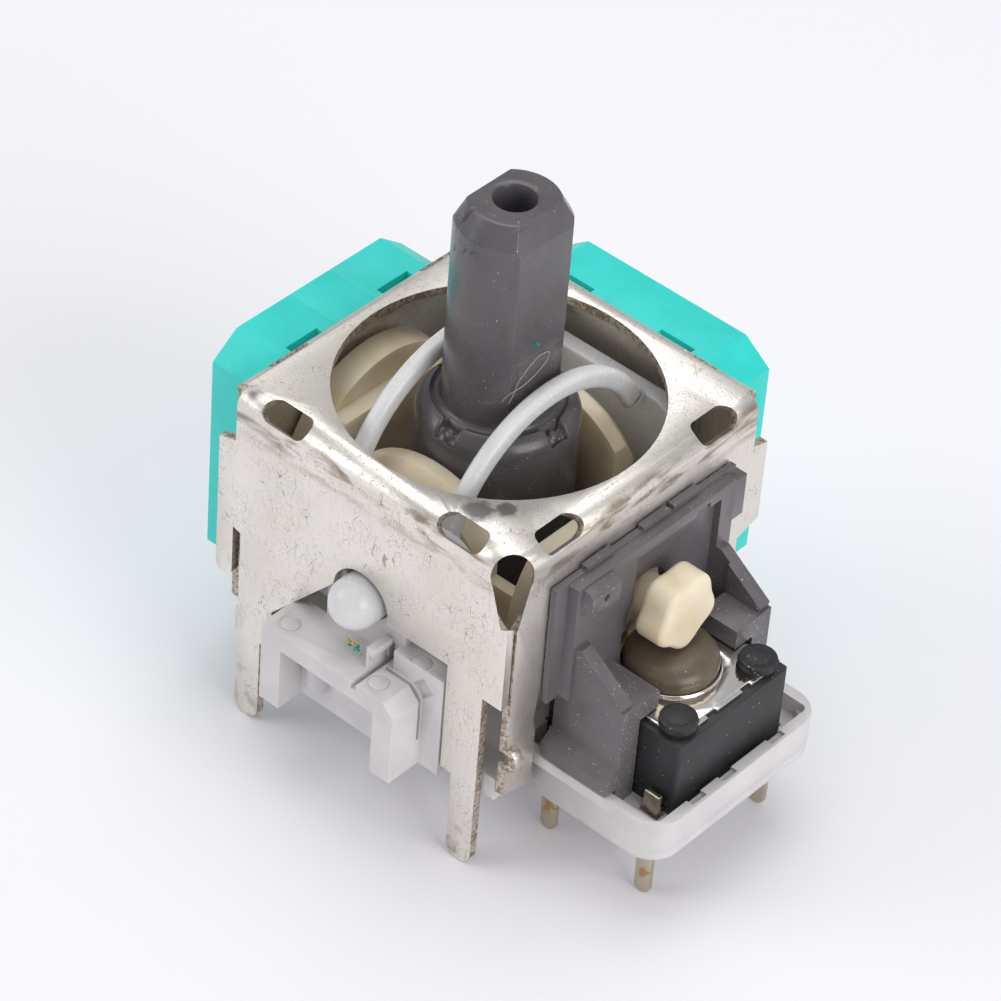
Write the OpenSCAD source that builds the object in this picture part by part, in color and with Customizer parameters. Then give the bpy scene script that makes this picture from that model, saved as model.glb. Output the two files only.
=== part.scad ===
// Two-axis analog stick module with a push switch, as soldered to a controller board.
// Millimetres, +Z up. The origin lies in the board plane, straight below the stick's pivot.

/* [Cover] */
// Outside width of the folded cover, both ways
cover_w = 13.7; // [13.4:0.1:14.4]
// Height of the cover's top face above the board
cover_top = 11.5; // [11.3:0.1:12]
// Sheet thickness
sheet = 0.35; // [0.25:0.05:0.4]
// Outside radius of the folds
fold_r = 0.6; // [0.5:0.05:0.7]
// Narrowest width of the top beside the round opening
rim_w = 0.85; // [0.7:0.05:1.1]
// Width of the soldered legs
leg_w = 1.15; // [0.9:0.05:1.3]
// Length of the legs and pins below the board plane
leg_drop = 3.4; // [2.4:0.1:4]

/* [Gimbal] */
// Height of both swing axes above the board
axis_z = 5.8; // [5.7:0.05:5.9]
// Running clearance on the radius of every pivot
pivot_gap = 0.05; // [0.03:0.01:0.08]

/* [Stick] */
// Height of the stick's top above the board
stick_top = 20; // [17:0.5:24]
// Diameter of the shaft
shaft_d = 4.2; // [3.8:0.1:4.2]
// Width across the two flats of the shaft
flats_w = 3.16; // [2.8:0.02:3.2]
// Width across the raised pads at the foot of the flats
pads_w = 3.36; // [3.3:0.02:3.4]
// Height at which the pads end
pads_z = 13.95; // [13:0.05:15]
// Diameter of the bore in the top of the shaft
bore_d = 1.6; // [1:0.1:1.8]
// Depth of that bore
bore_depth = 6; // [3:0.5:7]
// Diameter of the hub
hub_d = 6; // [5.8:0.1:6]
// Height of the hub's shoulder
hub_top = 11.55; // [11.3:0.05:11.6]
// Diameter of the pivot pins of the hub
pivot_d = 1.8; // [1.4:0.1:2]

/* [Lower arm] */
// Radius of the round ears
ear_r = 4.1; // [3.9:0.05:4.15]
// Thickness of one ear
ear_t = 1.1; // [0.7:0.05:1.15]
// Clearance between the arm's two cross walls and the cover
arm_gap = 1.25; // [1.2:0.05:1.35]
// Radius of the lobed knob over its lobes
knob_r = 1.45; // [1.2:0.05:1.5]
// Length of the knob
knob_l = 1.3; // [1:0.1:1.5]
// Height of the knob's centre above the swing axis
knob_rise = 1.25; // [1.2:0.01:1.3]
// Radius of the neck behind the knob
neck_r = 0.8; // [0.6:0.05:0.9]

/* [Upper arm] */
// Clear width between the two rails
slot_w = 3.9; // [3.8:0.05:4]
// Width of one rail
rail_w = 0.65; // [0.5:0.05:0.7]
// Depth of the rail section
rail_t = 0.8; // [0.7:0.05:0.85]
// Width of the end plates
plate_w = 8; // [7:0.1:8.2]
// Diameter of the axle with the domed end
axle_d = 2; // [1.6:0.1:2]

/* [Push switch] */
// Side of the square switch body
switch_w = 6; // [5.9:0.1:6.1]
// Height of the switch body
switch_h = 3.35; // [3.2:0.05:3.4]
// Distance of the switch's centre from the stick's axis
switch_x = 8.8; // [8.75:0.05:8.9]
// Diameter of the plunger
plunger_d = 3.5; // [3:0.1:3.6]
// Diameter of the four moulded heads that hold the cover plate
head_d = 1.4; // [1:0.1:1.5]

/* [Position sensors] */
// Width of a sensor housing
pot_w = 10; // [9.6:0.1:10]
// Height of a sensor housing
pot_h = 10.4; // [10:0.1:10.4]
// Depth of a sensor housing
pot_depth = 2.35; // [2.2:0.05:2.6]
// Spacing of the sensor pins
pin_pitch = 2.5; // [2:0.1:2.5]

/* [Base] */
// Thickness of the base floor
floor_t = 1; // [0.8:0.05:1]
// Outside length of the tray from the stick's axis
tray_x = 12.5; // [12.4:0.1:13]
// Outside width of the tray
tray_w = 9.3; // [9.3:0.1:9.8]
// Height of the tray's rim
tray_h = 1.35; // [1.1:0.05:1.6]
// Height of the bridge beside the cover
bridge_h = 3.6; // [3.2:0.1:3.8]

/* [Hidden] */
$fn = 48;
eps = 0.01;
half = cover_w / 2;
inner = half - sheet;
wall_top = cover_top - fold_r;
seat = 0.05;
// Base and what stands on it
base_half = inner - 0.1;
tray_floor = 0.6;
tray_wall = 0.45;
tray_corner = 1.2;
tray_inner_corner = 0.25;
opening_r = half - rim_w;
switch_base = tray_floor;
switch_roof = switch_base + switch_h;
plate_t = 0.18;
plate_top = switch_roof + plate_t;
plunger_rest = axis_z + knob_rise - knob_r - 0.1;
// Pivot chain
hub_r = hub_d / 2;
shaft_r = shaft_d / 2;
ear_in = hub_r + 0.1;
ear_out = ear_in + ear_t;
arm_half = inner - arm_gap;
neck_rise = 0.6 * knob_rise;
hub_foot = axis_z - 2.8;
spring_wire = 0.32;
spring_r = 1.55;
hub_bore_r = 2.1;
hub_bore_top = 9.6;
disc_t = 0.5;
disc_r = 2.9;
// Upper arm
rail_in = slot_w / 2;
arch_z = axis_z + 1.6;
arch_r = cover_top + 0.75 - arch_z;
plate_rise = 3.9;
end_in = 5.3;
end_t = 0.7;
// Sensors
pot_in = half + seat;
pot_wall = 0.7;
cavity_r = 4.2;
element_t = 0.2;
rotor_t = 0.6;
journal_r = 1.5;
tongue_w = 2.2;
tongue_t = 1;
// Switch holder
holder_in = half + seat;
holder_t = 0.7;
holder_half = tray_w / 2 + 0.2;
holder_top = 9.5;
side_out = tray_w / 2 - tray_wall - 0.13;
side_in = switch_w / 2 + 0.1;
shelf_z = 5;
window_half = 1.9;
head_at = switch_w / 2 - 0.8;
pin_half = 0.375 * switch_w;
pin_row = switch_w / 2 + 0.25;

// A rectangle with round corners, centred
module rounded_rect(size, r) {
    square([size.x - 2 * r, size.y], center = true);
    square([size.x, size.y - 2 * r], center = true);
    for (sx = [-1, 1], sy = [-1, 1])
        translate([sx * (size.x / 2 - r), sy * (size.y / 2 - r)]) circle(r);
}

// A flat outline in X and Z, stood up with its outer face on y = -face and its thickness inwards
module upright(face, t) {
    translate([0, -face + t, 0]) rotate([90, 0, 0]) linear_extrude(t) children();
}

// The same outline for the +X side: its first axis becomes Y
module upright_x(face, t) {
    rotate([0, 0, 90]) upright(face, t) children();
}

// Quarter ring of a fold, in the plane across it
module fold_section() {
    intersection() {
        difference() {
            circle(fold_r);
            circle(fold_r - sheet);
        }
        square(fold_r);
    }
}

// One straight fold along the -Y edge, from x = a to x = b
module fold(a, b) {
    translate([a, -half + fold_r, wall_top]) rotate([90, 0, 90])
        linear_extrude(b - a) mirror([1, 0]) fold_section();
}

// A leg with a round tip, centred on x = at, reaching up to z = up
module leg(at, up) {
    translate([at - leg_w / 2, -leg_drop + leg_w / 2]) square([leg_w, up + leg_drop - leg_w / 2]);
    translate([at, -leg_drop + leg_w / 2]) circle(leg_w / 2);
}

// The cover's side that faces the bridge
module front_wall_outline() {
    ear = half + 0.2;
    leg_x = half - 1.55;
    difference() {
        union() {
            polygon([[-half + fold_r, wall_top], [-half + fold_r, 9.3], [-ear, 9.1], [-ear, 5.5],
                     [-leg_x - leg_w / 2, 5.15], [-leg_x - leg_w / 2, 0.5], [-4.2, 0.5],
                     [4.2, 0.5], [leg_x + leg_w / 2, 0.5], [leg_x + leg_w / 2, 4.9], [half - 0.1, 4.9],
                     [half - 0.1, 8.6], [half - 0.4, 10.1], [half - fold_r, wall_top]]);
            leg(-leg_x, 1);
            leg(leg_x, 1);
            tab(-ear + 0.4, 0.8, 2.8, 5.6);
        }
        polygon([[-4.2, -1], [-4.2, 2.4], [-axle_d / 2 - 0.3, axis_z - 0.1], [0, axis_z],
                 [axle_d / 2 + 0.3, axis_z - 0.1], [axle_d / 2 + 0.3, 5.4], [4.2, 5.4], [4.2, -1]]);
        translate([0, axis_z - 0.1]) circle(axle_d / 2 + 0.3);
    }
}

// The cover's side that faces the switch
module switch_wall_outline() {
    ear = half + 0.2;
    difference() {
        polygon([[-half + fold_r, wall_top], [-6.2, 10.1], [-6.45, 8.6], [-6.45, 2.9], [-6.05, 2.9],
                 [-6.05, 0.5], [-4.95, 0.25], [-4.95, 2.6], [-5.1, 3.4], [-4.95, 4.6], [4.95, 4.6], [4.95, 1.3], [5.6, 1.3], [5.9, 1.6], [5.9, 5.15], [ear, 5.5],
                 [ear, 9.1], [half - fold_r, 9.3], [half - fold_r, wall_top]]);
        translate([-window_half, 0]) square([2 * window_half, axis_z + knob_rise + knob_r + 0.1]);
    }
}

// A side that carries a sensor
module sensor_wall_outline() {
    difference() {
        translate([-half + fold_r + 0.1, floor_t + 0.2])
            square([2 * (half - fold_r - 0.1), wall_top - floor_t - 0.2]);
        translate([0, axis_z]) circle(journal_r + 0.4);
    }
}

// A tab with a round tip that hangs beside the wall, centred on x = at, from z = up down to z = low
module tab(at, w, low, up) {
    translate([at - w / 2, low + w / 2]) square([w, up - low - w / 2]);
    translate([at, low + w / 2]) circle(w / 2);
}

// The clip below the switch side's strip: it bulges out once on its way to the board
module base_clip() {
    mid = half - sheet / 2;
    bulge = 0.45;
    bulge_z = 2.3;
    translate([mid, -6.05, 0]) rotate([90, 0, 0]) linear_extrude(0.4) {
        translate([0, bulge_z]) difference() {
            circle(bulge + sheet / 2);
            circle(bulge - sheet / 2);
            translate([-2, -1]) square(2);
        }
        translate([-sheet / 2, 0.55]) square([sheet, bulge_z - bulge + sheet / 2 - 0.55]);
        translate([-sheet / 2, bulge_z + bulge - sheet / 2]) square([sheet, 0.6]);
    }
}

module frame_cover() {
    slot_l = 2.1;
    slot_h = 0.95;
    bend = half - fold_r * 0.45;
    color([0.80, 0.78, 0.75]) difference() {
        union() {
            translate([0, 0, cover_top - sheet]) linear_extrude(sheet) difference() {
                square(2 * (half - fold_r), center = true);
                circle(opening_r);
            }
            for (turn = [0, 90, 180, 270])
                rotate([0, 0, turn]) fold(-half + fold_r, half - fold_r);
            upright(half, sheet) front_wall_outline();
            upright_x(half, sheet) switch_wall_outline();
            rotate([0, 0, 180]) upright(half, sheet) union() {
                sensor_wall_outline();
                for (side = [-1, 1]) leg(side * (half - 1.55), floor_t + 0.3);
            }
            rotate([0, 0, 270]) upright(half, sheet) sensor_wall_outline();
            base_clip();
        }
        // Oblong slots across the folds of the two open sides
        for (side = [-1, 1], turn = [0, 90]) rotate([0, 0, turn])
            translate([side * 4.15, -bend, cover_top - 0.1]) rotate([50, 0, 0])
                linear_extrude(2, center = true) rounded_rect([slot_l, slot_h], slot_h / 2 - 0.02);
        // Narrow slots above the sensors
        for (side = [-1, 1], turn = [180, 270]) rotate([0, 0, turn])
            translate([side * 3.95, -bend, cover_top - 0.1]) rotate([50, 0, 0])
                linear_extrude(2, center = true) rounded_rect([1.9, 0.35], 0.16);
        // Round relief at the open corner
        rotate([0, 0, -45]) translate([half * sqrt(2) - 0.6, 0, cover_top - 0.75]) rotate([0, 50, 0])
            linear_extrude(3, center = true) {
                circle(0.75);
                polygon([[0.3, -0.68], [0.3, 0.68], [1.9, 0.3], [1.9, -0.3]]);
            }
    }
}

// The light moulding that carries the cover, the arch's bearing and the switch tray
module base() {
    post = 0.95;
    bridge_out = half + 1.6;
    bridge_half = 3.2;
    beam = 0.8;
    color([0.84, 0.83, 0.82]) difference() {
        union() {
            translate([-base_half, -base_half, 0]) cube([2 * base_half, 2 * base_half, floor_t]);
            // Panels that fill the cover's opening, left and right of the axle
            translate([-4.1, -half, 0]) cube([2.6, half - base_half + 0.4, bridge_h - 1.4]);
            difference() {
                translate([1.75, -half - 0.05, 0]) cube([2.35, half - base_half + 0.35, 4.5]);
                translate([1, -half - 0.05, 4.15]) rotate([45, 0, 0]) translate([0, -1, 0]) cube([4, 1, 1]);
            }
            // Bridge
            translate([-bridge_half, -bridge_out, bridge_h - beam])
                cube([2 * bridge_half, bridge_out - base_half, beam]);
            for (x = [-bridge_half, bridge_half - post])
                translate([x, -bridge_out, 0]) cube([post, bridge_out - base_half, bridge_h]);
            translate([-1.45, -half - 0.35, 0.9]) cylinder(r = 0.5, h = bridge_h - 0.9 - beam + eps);
            translate([-bridge_half, -half - 0.35, 0]) cube([2 * bridge_half, 0.75, bridge_h]);
            // Lip beside the axle
            translate([1.02, -half - 0.7, bridge_h - 0.1]) cube([0.35, 1, 1.1]);
            // Bearing of the upper arm's axle
            translate([-1.9, -inner + seat, 0]) cube([3.8, 0.4, axis_z + 0.4]);
            // Tray
            translate([(base_half + tray_x) / 2 - 0.6, 0, 0]) linear_extrude(tray_h)
                rounded_rect([tray_x - base_half + 1.2, tray_w], tray_corner);
        }
        // Axle notch, open upwards
        translate([0, -inner + seat - 1, axis_z]) rotate([-90, 0, 0])
            cylinder(r = axle_d / 2 + pivot_gap, h = 2);
        translate([-axle_d / 2 - pivot_gap, -inner + seat - 1, axis_z]) cube([axle_d + 2 * pivot_gap, 2, 2]);
        // Hollow of the tray, with the cover's foot room beside it
        translate([base_half + (tray_x - base_half) / 2 - tray_wall / 2 - 0.25, 0, tray_floor])
            linear_extrude(tray_h) rounded_rect([tray_x - base_half - tray_wall + 0.5,
                                                 tray_w - 2 * tray_wall], tray_inner_corner);
        translate([switch_x - switch_w / 2 - 0.05, -switch_w / 2 - 0.05, tray_floor])
            cube([switch_w, switch_w + 0.1, 3]);
        // Steps in the rim
        for (y = [-2.6, -0.9, 1.8])
            translate([tray_x - tray_wall - 0.2, y, tray_h - 0.15]) cube([0.5, 0.75, 1]);
        // Slots for the switch pins
        for (x = pin_columns(), y = pin_rows())
            translate([x, y, tray_floor / 2]) cube([0.9, 0.5, tray_floor + 1], center = true);
        // Shallow round marks of the mould
        for (at = [[-2.45, -half - 0.9, bridge_h], [1.85, -half - 0.9, bridge_h], [2.85, -half + 0.2, 4.5]])
            translate([at.x, at.y, at.z - 0.04]) difference() {
                cylinder(r = 0.42, h = 1);
                translate([0, 0, -eps]) cylinder(r = 0.36, h = 1);
            }
        // Step in the bridge and its sloped corner
        translate([1.15, -bridge_out - 1, bridge_h - 0.3]) cube([0.25, 5, 1]);
        translate([bridge_half, -bridge_out, bridge_h]) rotate([0, 45, 0]) cube([0.7, 3.4, 0.7], center = true);
        // Slit between the bridge and the panel behind it
        translate([1.45, -half - 0.23, 1.2]) cube([bridge_half, 0.15, 5]);
    }
}

function pin_columns() = [switch_x - pin_half, switch_x + pin_half];
function pin_rows() = [-pin_row, pin_row];

// One end of the holder: wall beside the switch, shelf over its corner and sloped rib, for +Y
module holder_end(low) {
    shelf_x = 10;
    rib_in = side_out - 0.6 * (side_out - side_in);
    shelf_in = side_in - 0.97;
    translate([holder_in, side_in, low]) cube([shelf_x - holder_in, side_out - side_in, shelf_z - low]);
    translate([holder_in, shelf_in, plate_top + seat])
        cube([shelf_x - holder_in, side_out - shelf_in, shelf_z - plate_top - seat]);
    translate([0, side_out, 0]) rotate([90, 0, 0]) linear_extrude(side_out - rib_in)
        polygon([[holder_in, shelf_z - 0.2], [shelf_x - 0.2, shelf_z - 0.2], [shelf_x - 0.1, shelf_z + 0.2],
                 [holder_in + holder_t + 0.25, 6.65], [holder_in, 6.65]]);
    // Ledge over the tray's rim, sloped on top
    rotate([90, 0, 90]) translate([0, 0, holder_in]) linear_extrude(shelf_x - holder_in)
        polygon([[side_out - 0.1, 2.5], [side_out, 2.5], [holder_half - 0.2, 2.05], [holder_half - 0.2, 1.45],
                 [side_out - 0.1, 1.45]]);
}

// The dark bracket that holds the switch under the arm's knob
module switch_holder() {
    front = holder_in + holder_t;
    slab = holder_in + 0.25;
    foot = plate_top + seat;
    panel_l = -4.2;
    panel_r = 4.35;
    recess_l = -1;
    recess_r = 3.6;
    slot_half = neck_r + 0.45;
    color([0.41, 0.40, 0.42]) difference() {
        union() {
            translate([holder_in, -holder_half, foot]) cube([slab - holder_in, 2 * holder_half,
                                                             holder_top - foot]);
            translate([holder_in, panel_l, foot]) cube([front - holder_in, panel_r - panel_l,
                                                        holder_top - 0.1 - foot]);
            holder_end(switch_base);
            mirror([0, 1, 0]) holder_end(switch_base);
            // Tab at the near top corner and block at the far one
            translate([front - eps, -3.95, 8.2]) rotate([0, -90, -90]) linear_extrude(1.5)
                polygon([[0.1, -0.1], [1.1, -0.1], [1.1, 0.3], [0.9, 0.5], [0.1, 0.5]]);
            translate([holder_in, panel_r - eps, 7.3]) cube([holder_t - 0.1, 0.75, holder_top - 0.35 - 7.3]);
            // Ribs on the top edge
            for (y = [-3.3, -0.3, 1.35])
                translate([holder_in, y, holder_top - eps]) cube([0.3, 1.45, 0.2]);
        }
        // Recess beside the knob, under a rail that has one notch
        translate([front - 0.3, recess_l, 4]) cube([1, recess_r - recess_l, holder_top - 0.6 - 4]);
        translate([front - 0.15, 2.2, holder_top - 0.75]) cube([1, 0.75, 0.4]);
        // Slot for the arm's neck, open downwards
        translate([holder_in - 1, -slot_half, 0])
            cube([holder_t + 2, 2 * slot_half, axis_z + neck_rise + neck_r + 0.15 - slot_half]);
        translate([holder_in - 1, 0, axis_z + neck_rise + neck_r + 0.15 - slot_half]) rotate([0, 90, 0])
            cylinder(r = slot_half, h = holder_t + 2);
        // Room for the plunger and for the two inner heads of the switch
        translate([switch_x, 0, 4]) cylinder(d = plunger_d + 0.3, h = plunger_rest - 4 + 0.2);
        for (side = [-1, 1]) translate([switch_x - head_at, side * head_at, 4])
            cylinder(d = head_d + 0.2, h = plate_top + 0.4 - 4);
        // Dimple of the mould
        translate([front + 0.3, -3.2, 8.8]) rotate([0, 90, 0]) cylinder(r = 0.14, h = 1);
    }
}

// The black switch body, with the four moulded heads that hold its cover plate
module switch_body() {
    well_r = plunger_d / 2 + 0.25;
    color([0.16, 0.16, 0.17]) difference() {
        union() {
            translate([switch_x, 0, switch_base]) linear_extrude(switch_h)
                rounded_rect([switch_w, switch_w], 0.15);
            for (x = [-1, 1], y = [-1, 1])
                translate([switch_x + x * head_at, y * head_at, 0]) {
                    translate([0, 0, switch_roof - eps]) cylinder(d = 0.8, h = plate_t + 2 * eps);
                    translate([0, 0, plate_top]) cylinder(d = head_d, h = 0.32);
                }
        }
        translate([switch_x, 0, switch_roof - 1.7]) cylinder(r = well_r, h = 3);
        for (side = [-1, 1]) {
            for (x = pin_columns())
                translate([x, side * switch_w / 2, switch_base]) cube([0.75, 1.6, 0.6], center = true);
            translate([switch_x, side * (switch_w / 2 - 0.45), switch_base])
                cube([2 * pin_half + 0.8, 0.4, 0.6], center = true);
        }
    }
}

module switch_cover_plate() {
    hole_r = plunger_d / 2 + 0.06;
    color([0.85, 0.83, 0.80]) translate([switch_x, 0, switch_roof]) linear_extrude(plate_t)
        difference() {
            rounded_rect([switch_w - 0.5, switch_w - 0.5], 0.7);
            circle(hole_r);
            for (x = [-1, 1], y = [-1, 1]) translate([x * head_at, y * head_at]) circle(d = 0.84);
            for (y = [-0.95, 0.95]) translate([switch_w / 2 - 0.25, y]) square([0.3, 0.5], center = true);
        }
}

// The domed plunger, with the flange that keeps it under the plate
module switch_plunger() {
    r = plunger_d / 2;
    low = switch_roof - 0.9;
    rise = plunger_rest - plate_top;
    color([0.36, 0.31, 0.26]) translate([switch_x, 0, 0]) {
        translate([0, 0, low]) cylinder(r = r + 0.12, h = 0.45);
        translate([0, 0, low]) cylinder(r = r, h = plate_top + 0.35 - low);
        // Crown: a disc with a round shoulder
        translate([0, 0, plate_top + 0.35]) rotate_extrude() {
            square([r - rise + 0.35, rise - 0.35]);
            intersection() {
                translate([r - rise + 0.35, 0]) circle(rise - 0.35);
                square([r, rise]);
            }
        }
    }
}

// The snapping contact dome under the plunger
module switch_snap_dome() {
    r = 1.7;
    sag = 0.3;
    ball = (r * r + sag * sag) / (2 * sag);
    floor_z = switch_roof - 1.7;
    color([0.78, 0.78, 0.76]) translate([switch_x, 0, floor_z]) rotate_extrude()
        intersection() {
            difference() {
                translate([0, sag - ball]) circle(ball, $fn = 96);
                translate([0, sag - ball - 0.08]) circle(ball, $fn = 96);
            }
            square([r, sag + 1]);
        }
}

// One stamped contact with two pins, on the side named by its sign
module switch_terminal(side) {
    w = 0.7;
    t = 0.25;
    inside = switch_w / 2 - 0.6;
    color([0.72, 0.53, 0.38]) for (x = pin_columns()) {
        translate([x - w / 2, side > 0 ? inside : -pin_row - t / 2, switch_base + 0.02])
            cube([w, pin_row + t / 2 - inside, t]);
        translate([x - w / 2, side * pin_row - t / 2, -leg_drop + w / 2])
            cube([w, t, leg_drop + switch_base + 0.9 - w / 2]);
        translate([x, side * pin_row, -leg_drop + w / 2]) rotate([90, 0, 0])
            cylinder(d = w, h = t, center = true);
    }
    color([0.72, 0.53, 0.38]) translate([switch_x - pin_half, side > 0 ? inside : -inside - 0.3,
                                               switch_base + 0.02]) cube([2 * pin_half, 0.3, t]);
}

module switch_terminal_near() switch_terminal(-1);
module switch_terminal_far() switch_terminal(1);

// Places a sensor piece: its own Z is the distance out from the axis, its own Y is up
module on_sensor(turn) {
    rotate([0, 0, turn]) translate([0, 0, axis_z]) rotate([90, 0, 0]) children();
}

module sensor_outline() {
    w = pot_w / 2;
    h = pot_h / 2;
    polygon([[-w, -h + 1], [-w + 1, -h], [w - 1, -h], [w, -h + 1], [w, h - 0.9], [w - 1.2, h],
             [-w + 1.2, h], [-w, h - 0.9]]);
}

module sensor_housing(turn) {
    floor_w = pot_in + pot_depth - pot_wall;
    color([0.20, 0.78, 0.68]) on_sensor(turn) difference() {
        union() {
            translate([0, 0, pot_in]) linear_extrude(pot_depth) sensor_outline();
            translate([0, 0, pot_in + pot_depth - eps]) cylinder(r = journal_r + 0.7, h = 0.25);
        }
        translate([0, 0, pot_in - 1]) cylinder(r = cavity_r, h = floor_w - pot_in + 1);
        cylinder(r = journal_r + pivot_gap, h = 20);
        // Notches along the top and the slot that the pins leave by
        for (x = [-2.25, 2.55])
            translate([x - 0.8, pot_h / 2 - 0.35, pot_in - 1]) cube([1.6, 1, 1.35]);
        translate([-3.2, -pot_h / 2 - 1, pot_in - 1]) cube([6.4, 3, 1.45]);
        // Two fine grooves across the top
        for (x = [-1.05, 1.05])
            translate([x - 0.04, pot_h / 2 - 0.06, pot_in - 1]) cube([0.08, 1, 5]);
    }
}

module sensor_element(turn) {
    color([0.25, 0.22, 0.18]) on_sensor(turn)
        translate([0, 0, pot_in + pot_depth - pot_wall - element_t]) linear_extrude(element_t) difference() {
            circle(cavity_r - 0.1);
            circle(journal_r + 0.3);
        }
}

module sensor_pins(turn) {
    w = 0.6;
    t = 0.25;
    color([0.80, 0.79, 0.76]) on_sensor(turn) for (i = [-1, 0, 1])
        translate([i * pin_pitch, 0, pot_in + 0.15]) {
            translate([-w / 2, -axis_z - leg_drop + w / 2, 0]) cube([w, leg_drop + axis_z - 3.35 - w / 2, t]);
            translate([0, -axis_z - leg_drop + w / 2, 0]) cylinder(d = w, h = t);
        }
}

module sensor_rotor(turn) {
    face = pot_in + 0.45;
    color([0.90, 0.88, 0.84]) on_sensor(turn) difference() {
        union() {
            translate([0, 0, face]) cylinder(r = 3.1, h = rotor_t);
            translate([0, 0, face]) cylinder(r = journal_r, h = pot_in + pot_depth + 0.15 - face);
        }
        translate([0, 0, face + 0.5]) cube([tongue_t + 0.12, tongue_w + 0.12, 2.4], center = true);
    }
}

module sensor_wiper(turn) {
    face = pot_in + 0.45 + rotor_t;
    color([0.82, 0.70, 0.40]) on_sensor(turn) translate([0, 0, face]) linear_extrude(0.18) {
        difference() {
            circle(2.3);
            circle(journal_r + 0.04);
        }
        for (a = [60, 120]) rotate([0, 0, a]) translate([2, -0.2]) square([1, 0.4]);
    }
}

module x_sensor_housing() sensor_housing(-90);
module x_sensor_element() sensor_element(-90);
module x_sensor_pins() sensor_pins(-90);
module x_sensor_rotor() sensor_rotor(-90);
module x_sensor_wiper() sensor_wiper(-90);
module y_sensor_housing() sensor_housing(180);
module y_sensor_element() sensor_element(180);
module y_sensor_pins() sensor_pins(180);
module y_sensor_rotor() sensor_rotor(180);
module y_sensor_wiper() sensor_wiper(180);

// Half section of the stick, turned about its own axis
module stick_section() {
    shoulder = 0.9;
    moat = 0.2;
    difference() {
        union() {
            translate([0, hub_foot]) square([hub_r, hub_top - shoulder - hub_foot]);
            translate([0, hub_foot]) square([hub_r - shoulder, hub_top - hub_foot]);
            translate([hub_r - shoulder, hub_top - shoulder]) circle(shoulder);
            translate([0, hub_top - eps]) square([shaft_r, stick_top - 0.8 - hub_top + eps]);
            polygon([[0, stick_top - 0.8], [shaft_r, stick_top - 0.8], [shaft_r - 0.45, stick_top],
                     [0, stick_top]]);
        }
        translate([-5, 0]) square([5, stick_top + 1]);
        translate([0, hub_foot - 1]) square([hub_bore_r, hub_bore_top - hub_foot + 1]);
        translate([0, stick_top - bore_depth]) square([bore_d / 2, bore_depth + 1]);
        translate([shaft_r + moat, hub_top]) circle(moat);
    }
}

module stick() {
    flat = flats_w / 2;
    bulge = (pads_w - flats_w) / 2;
    pad_half = 1.1;
    pad_r = (pad_half * pad_half + bulge * bulge) / (2 * bulge);
    color([0.36, 0.35, 0.36]) difference() {
        union() {
            rotate_extrude() stick_section();
            for (side = [-1, 1]) translate([0, side * hub_r * 0.9, axis_z]) rotate([-90 * side, 0, 0])
                cylinder(d = pivot_d, h = ear_out - hub_r * 0.9);
        }
        // Two flats with a lower pad at the foot of each
        for (side = [0, 180]) rotate([0, 0, side]) difference() {
            rotate([90, 0, 0]) linear_extrude(10, center = true)
                polygon([[flat, hub_top + 0.35], [6, hub_top + 0.35], [6, stick_top + 1], [flat - 0.38, stick_top + 1],
                         [flat - 0.38, stick_top], [flat, stick_top - 1.05]]);
            translate([flat + bulge - pad_r, 0, hub_top]) cylinder(r = pad_r, h = pads_z - hub_top, $fn = 96);
        }
        // Square dimples in the shoulder
        for (turn = [0, 90, 180, 270]) rotate([0, 0, turn])
            translate([hub_r - 0.45, 0, hub_top - 0.1]) rotate([0, 35, 0]) cube([0.7, 0.7, 0.9], center = true);
    }
}

// Return spring inside the hub: a round wire swept along a helix
module return_spring() {
    low = floor_t + disc_t + spring_wire / 2;
    high = hub_bore_top - spring_wire / 2;
    turns = 7;
    steps = 18 * turns;
    sides = 8;
    rings = [for (i = [0:steps]) let (a = 360 * turns * i / steps, z = low + (high - low) * i / steps)
        [for (k = [0:sides - 1]) let (b = 360 * k / sides, r = spring_r + spring_wire / 2 * cos(b))
            [r * cos(a), r * sin(a), z + spring_wire / 2 * sin(b)]]];
    points = [for (ring = rings) each ring];
    skin = [for (i = [0:steps - 1], k = [0:sides - 1]) let (n = (k + 1) % sides)
        [i * sides + k, (i + 1) * sides + k, (i + 1) * sides + n, i * sides + n]];
    color([0.75, 0.75, 0.74]) polyhedron(points = points,
        faces = concat(skin, [[for (k = [0:sides - 1]) k]],
                       [[for (k = [sides - 1:-1:0]) steps * sides + k]]));
}

// The loose disc that the spring presses on the floor
module return_disc() {
    color([0.22, 0.22, 0.23]) translate([0, 0, floor_t]) {
        cylinder(r = disc_r, h = disc_t);
        cylinder(r = 0.7, h = disc_t + 0.35);
    }
}

// One lobe of the knob after another round its centre
module knob_outline() {
    lobe = 0.5;
    circle(knob_r - 0.42);
    for (i = [0:4]) rotate(45 + 72 * i) translate([knob_r - lobe, 0]) circle(lobe);
}

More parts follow.
